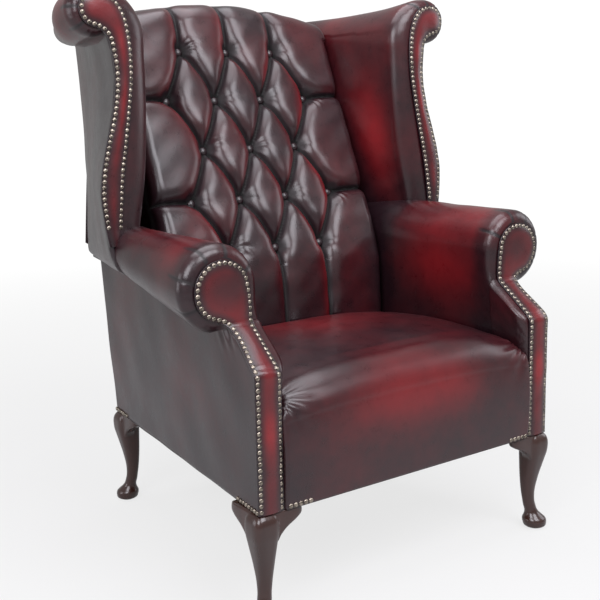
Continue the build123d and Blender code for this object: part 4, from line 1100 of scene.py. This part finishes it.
class Builder:
    """Shared by the operators: the scene's sizes, colours and materials."""

    bl_options = {"REGISTER", "UNDO"}

    @property
    def sizes(self):
        """The sizes for the shapes: lengths in millimetres, and the rake in radians."""
        group = bpy.context.scene.chair_sizes
        values = {name: getattr(group, name) / MM for name in group.__annotations__}
        return SimpleNamespace(**values | {"rake": group.rake})

    def finish(self, name):
        """A finish by its name, made once."""
        colours = bpy.context.scene.chair_colours
        makers = {
            "rubbed_leather_with_painted_shade": lambda: leather(name, colours),
            "panel_leather": lambda: leather(name, colours, spread=0.4, worn=0.10),
            "button_leather": lambda: leather(name, colours, spread=0.3, worn=0.04),
            "mahogany": lambda: polished_wood(name, colours),
            "nail_brass": lambda: aged_brass(name, colours),
        }
        for slot, values in PLAIN_FINISHES.items():
            makers[f"{slot}_finish"] = lambda values=values: plain_finish(name, **values)
        return bpy.data.materials.get(name) or makers[name]()

    def cover(self, name, shape, side, *replaced, slot="oxblood_leather"):
        """A leather piece from its rings and its wear and painted light and shade, on one side, in
        place of its CAD nodes.
        """
        rings, wear_and_shading = shape
        piece = tube(name, mirrored(rings, side), wear_and_shading)
        return dress(piece, self.finish("rubbed_leather_with_painted_shade"), slot, *replaced)


class CHAIR_OT_finishes(Builder, bpy.types.Operator):
    """Finishes of the pieces whose shape comes from the frame"""

    bl_idname = "chair.finishes"
    bl_label = "Frame finishes"

    def execute(self, context):
        slots = {row["node"]: row["material_slot"] for row in frame["record"]["subparts"]}
        for name, node in frame["nodes"].items():
            if slots[name] in PLAIN_FINISHES:
                material = self.finish(f"{slots[name]}_finish")
            elif slots[name] == "dark_mahogany":
                material = self.finish("mahogany")
            else:
                material = self.finish("panel_leather")
            node.data.materials.clear()
            node.data.materials.append(material)
        return {"FINISHED"}


class CHAIR_OT_back(Builder, bpy.types.Operator):
    """Deep-buttoned back with its pleats, crest and buttons"""

    bl_idname = "chair.back"
    bl_label = "Buttoned back"

    def execute(self, context):
        s = self.sizes
        piece = self.cover("buttoned_back", back_surface(s), 1, "back_cover", "back_pad")
        out_y, out_z, sunk = -np.cos(s.rake), np.sin(s.rake), 9.0
        x, up = button_spots(s).T
        y = s.row_low_y + up * out_z + sunk * out_y
        z = s.row_low - up * out_y + sunk * out_z
        normals = space(0 * x, out_y, out_z)
        form = {"radius": 9.6, "height": 6.5, "around": 24, "up": 7, "neck": 1.5}
        buttons = domes("covered_buttons", space(x, y, z), normals, **form)
        dress(buttons, self.finish("button_leather"), "oxblood_leather", "back_buttons")
        return {"FINISHED"}


class CHAIR_OT_seat(Builder, bpy.types.Operator):
    """Sprung seat with its border in one piece"""

    bl_idname = "chair.seat"
    bl_label = "Seat"

    def execute(self, context):
        nodes = ("seat_cover", "seat_foam", "front_border_pad")
        piece = self.cover("sprung_seat", seat_surface(self.sizes), 1, *nodes)
        return {"FINISHED"}


class CHAIR_OT_arms(Builder, bpy.types.Operator):
    """Scroll arms: the rolled cover and the part below the slope"""

    bl_idname = "chair.arms"
    bl_label = "Arms"

    def execute(self, context):
        for word, side in SIDES.items():
            nodes = (f"{word}_inside_arm_cover", f"{word}_arm_pad")
            roll = self.cover(f"{word}_arm_roll", arm_rings(self.sizes), side, *nodes)
            lower = self.cover(f"{word}_arm_front", arm_lower_rings(), side)
        return {"FINISHED"}


class CHAIR_OT_wings(Builder, bpy.types.Operator):
    """Scroll wings with their top rolls"""

    bl_idname = "chair.wings"
    bl_label = "Wings"

    def execute(self, context):
        for word, side in SIDES.items():
            nodes = (f"{word}_wing_cover", f"{word}_wing_pad")
            wing = self.cover(f"{word}_wing", wing_rings(), side, *nodes)
        return {"FINISHED"}


class CHAIR_OT_facings(Builder, bpy.types.Operator):
    """Padded facings of the arms and wings"""

    bl_idname = "chair.facings"
    bl_label = "Facings"

    def execute(self, context):
        for word, side in SIDES.items():
            for kind, inner, outer in FACINGS:
                shape, node = facing_rings(kind, inner, outer), f"{word}_{kind}_facing"
                piece = self.cover(f"{word}_{kind}_face", shape, side, node)
        return {"FINISHED"}


class CHAIR_OT_sides(Builder, bpy.types.Operator):
    """Outside panels of the arms and wings"""

    bl_idname = "chair.sides"
    bl_label = "Outside panels"

    def execute(self, context):
        for word, side in SIDES.items():
            for kind, shape in (("arm", arm_side_rings(self.sizes)), ("wing", wing_side_rings())):
                node = f"{word}_outside_{kind}_panel"
                self.cover(f"{word}_{kind}_side", shape, side, node, slot="outside_leather")
        return {"FINISHED"}


class CHAIR_OT_legs(Builder, bpy.types.Operator):
    """Cabriole legs with their ears"""

    bl_idname = "chair.legs"
    bl_label = "Legs"

    def execute(self, context):
        for word, side in SIDES.items():
            for end, x, y, y_sign in (("front", 325, -368, -1), ("rear", 252, 277, 1)):
                rings = mirrored(leg_rings(x, y, y_sign), side)
                piece = tube(f"{word}_{end}_cabriole", rings)
                ears = (f"{end}_leg_ears",) if side == 1 else ()
                dress(piece, self.finish("mahogany"), "dark_mahogany", f"{word}_{end}_leg", *ears)
        return {"FINISHED"}


class CHAIR_OT_nails(Builder, bpy.types.Operator):
    """Close nailing round the facings and above the legs"""

    bl_idname = "chair.nails"
    bl_label = "Nail heads"

    def execute(self, context):
        s = self.sizes
        places, normals = all_nails(s)
        for word, side in SIDES.items():
            spots, ways = mirrored(places, side), mirrored(normals, side)
            form = {"radius": s.nail_radius, "height": 2.8, "around": 10, "up": 4, "neck": 0.6}
            nails = domes(f"{word}_nail_heads", spots, ways, **form)
            dress(nails, self.finish("nail_brass"), "antique_brass")
        return {"FINISHED"}


class CHAIR_OT_stage(Builder, bpy.types.Operator):
    """Floor, soft studio light and the camera at the photograph's angle"""

    bl_idname = "chair.stage"
    bl_label = "Stage"

    def execute(self, context):
        white, shine, world_light = 1.05, 0.3, 0.16
        self.place_floor(white, shine)
        self.place_lamps(context)
        world = bpy.data.worlds.new("studio")
        world.use_nodes = True
        nodes = Nodes(world.node_tree)
        light = nodes.tree.nodes["Background"]
        nodes.put((1, 1, 1, 1), light, "Color")
        nodes.put(world_light, light, "Strength")
        sky = {"Color": (1, 1, 1, 1), "Strength": white}
        sky = nodes.add("ShaderNodeBackground", {}, sky)
        layers = [nodes.pale_share(shine), Value(nodes, light.outputs[0]), sky]
        mix = nodes.add("ShaderNodeMixShader", {}, layers)
        nodes.put(mix, nodes.tree.nodes["World Output"], "Surface")
        context.scene.world = world
        self.place_camera(context)
        context.scene.view_settings.view_transform = "Standard"
        return {"FINISHED"}

    def place_floor(self, white, shine):
        """A pale floor that keeps the chair's shadow and turns white away from it, in front
        of the camera only."""
        far = 9e3
        corners = [[-far, -far, 0], [far, -far, 0], [far, far, 0], [-far, far, 0]]
        floor = add_mesh("floor", np.array(corners, float), [(0, 1, 2, 3)])
        finish = Finish("pale_floor", Roughness=0.9)
        tone = finish.noise(3.0)
        finish.feed("Base Color", finish.blend(tone.held(), (0.46, 0.46, 0.46), (0.48, 0.48, 0.48)))
        away = finish.add("ShaderNodeVectorMath", {"operation": "LENGTH"}, [finish.place], 1)
        share = finish.pale_share(shine) * (0.72 + ((away - 0.9) * 0.3).held() * 0.28)
        glow = finish.add("ShaderNodeEmission", {}, {"Color": (1, 1, 1, 1), "Strength": white})
        layers = [share, Value(finish, finish.shader.outputs[0]), glow]
        mix = finish.add("ShaderNodeMixShader", {}, layers)
        finish.put(mix, finish.tree.nodes["Material Output"], "Surface")
        floor.data.materials.append(finish.material)

    def place_lamps(self, context):
        """Soft square lamps, each (name, place, target, width in metres, watts)."""
        lamps = [
            ("key", (-2.1, -1.5, 2.1), (0, -0.1, 0.6), 1.5, 52),
            ("front", (0.2, -2.3, 2.9), (0, 0, 0.6), 1.9, 82),
            ("fill", (2.6, -0.9, 1.5), (0, 0, 0.6), 1.4, 14),
            ("top", (0.0, 0.2, 2.9), (0, 0, 0.5), 2.0, 46),
            ("left", (-2.7, 0.9, 1.0), (0, 0, 0.5), 1.4, 15),
        ]
        for name, place, target, width, power in lamps:
            lamp = bpy.data.lights.new(name, "AREA")
            lamp.size, lamp.energy = width, power
            lamp.color = (0.95, 0.94, 1.0)
            holder = bpy.data.objects.new(name, lamp)
            holder.location = place
            aim = Vector(target) - Vector(place)
            holder.rotation_euler = aim.to_track_quat("-Z", "Y").to_euler()
            context.scene.collection.objects.link(holder)

    def place_camera(self, context):
        """The camera found from the chair's feet, corners and scrolls in the photograph."""
        yaw, pitch, roll = 0.6180120867885245, 0.19628383751734033, -0.02006132227933501
        place = Vector((-1.17156, -1.67914, 0.86265))
        forward = Vector((np.sin(yaw) * np.cos(pitch), np.cos(yaw) * np.cos(pitch), -np.sin(pitch)))
        right = Vector((np.cos(yaw), -np.sin(yaw), 0))
        up = right.cross(forward)
        turned = np.cos(roll) * right + np.sin(roll) * up
        upright = -np.sin(roll) * right + np.cos(roll) * up
        camera = bpy.data.objects.new("camera", bpy.data.cameras.new("camera"))
        camera.data.lens = 60.856
        camera.data.sensor_width = 36
        axes = Matrix((turned, upright, -forward)).transposed().to_4x4()
        camera.matrix_world = Matrix.Translation(place) @ axes
        context.scene.collection.objects.link(camera)
        context.scene.camera = camera


class CHAIR_PT_panel(bpy.types.Panel):
    """Lists the chair's pieces and sizes"""

    bl_idname = "CHAIR_PT_panel"
    bl_label = "Wing chair"
    bl_space_type = "VIEW_3D"
    bl_region_type = "UI"
    bl_category = "Wing chair"

    def draw(self, context):
        for operator in OPERATORS:
            self.layout.operator(operator.bl_idname)
        for group in (context.scene.chair_sizes, context.scene.chair_colours):
            for name in group.__annotations__:
                self.layout.prop(group, name)


OPERATORS = (
    CHAIR_OT_finishes,
    CHAIR_OT_back,
    CHAIR_OT_seat,
    CHAIR_OT_arms,
    CHAIR_OT_wings,
    CHAIR_OT_facings,
    CHAIR_OT_sides,
    CHAIR_OT_legs,
    CHAIR_OT_nails,
    CHAIR_OT_stage,
)
CLASSES = (ChairSizes, ChairColours, *OPERATORS, CHAIR_PT_panel)


def register():
    for item in CLASSES:
        bpy.utils.register_class(item)
    bpy.types.Scene.chair_sizes = bpy.props.PointerProperty(type=ChairSizes)
    bpy.types.Scene.chair_colours = bpy.props.PointerProperty(type=ChairColours)


def unregister():
    del bpy.types.Scene.chair_colours
    del bpy.types.Scene.chair_sizes
    for item in reversed(CLASSES):
        bpy.utils.unregister_class(item)


def main():
    """Builds every piece, the stage and the camera."""
    register()
    bpy.ops.chair.finishes()
    bpy.ops.chair.back()
    bpy.ops.chair.seat()
    bpy.ops.chair.arms()
    bpy.ops.chair.wings()
    bpy.ops.chair.facings()
    bpy.ops.chair.sides()
    bpy.ops.chair.legs()
    bpy.ops.chair.nails()
    bpy.ops.chair.stage()


if __name__ == "__main__":
    main()
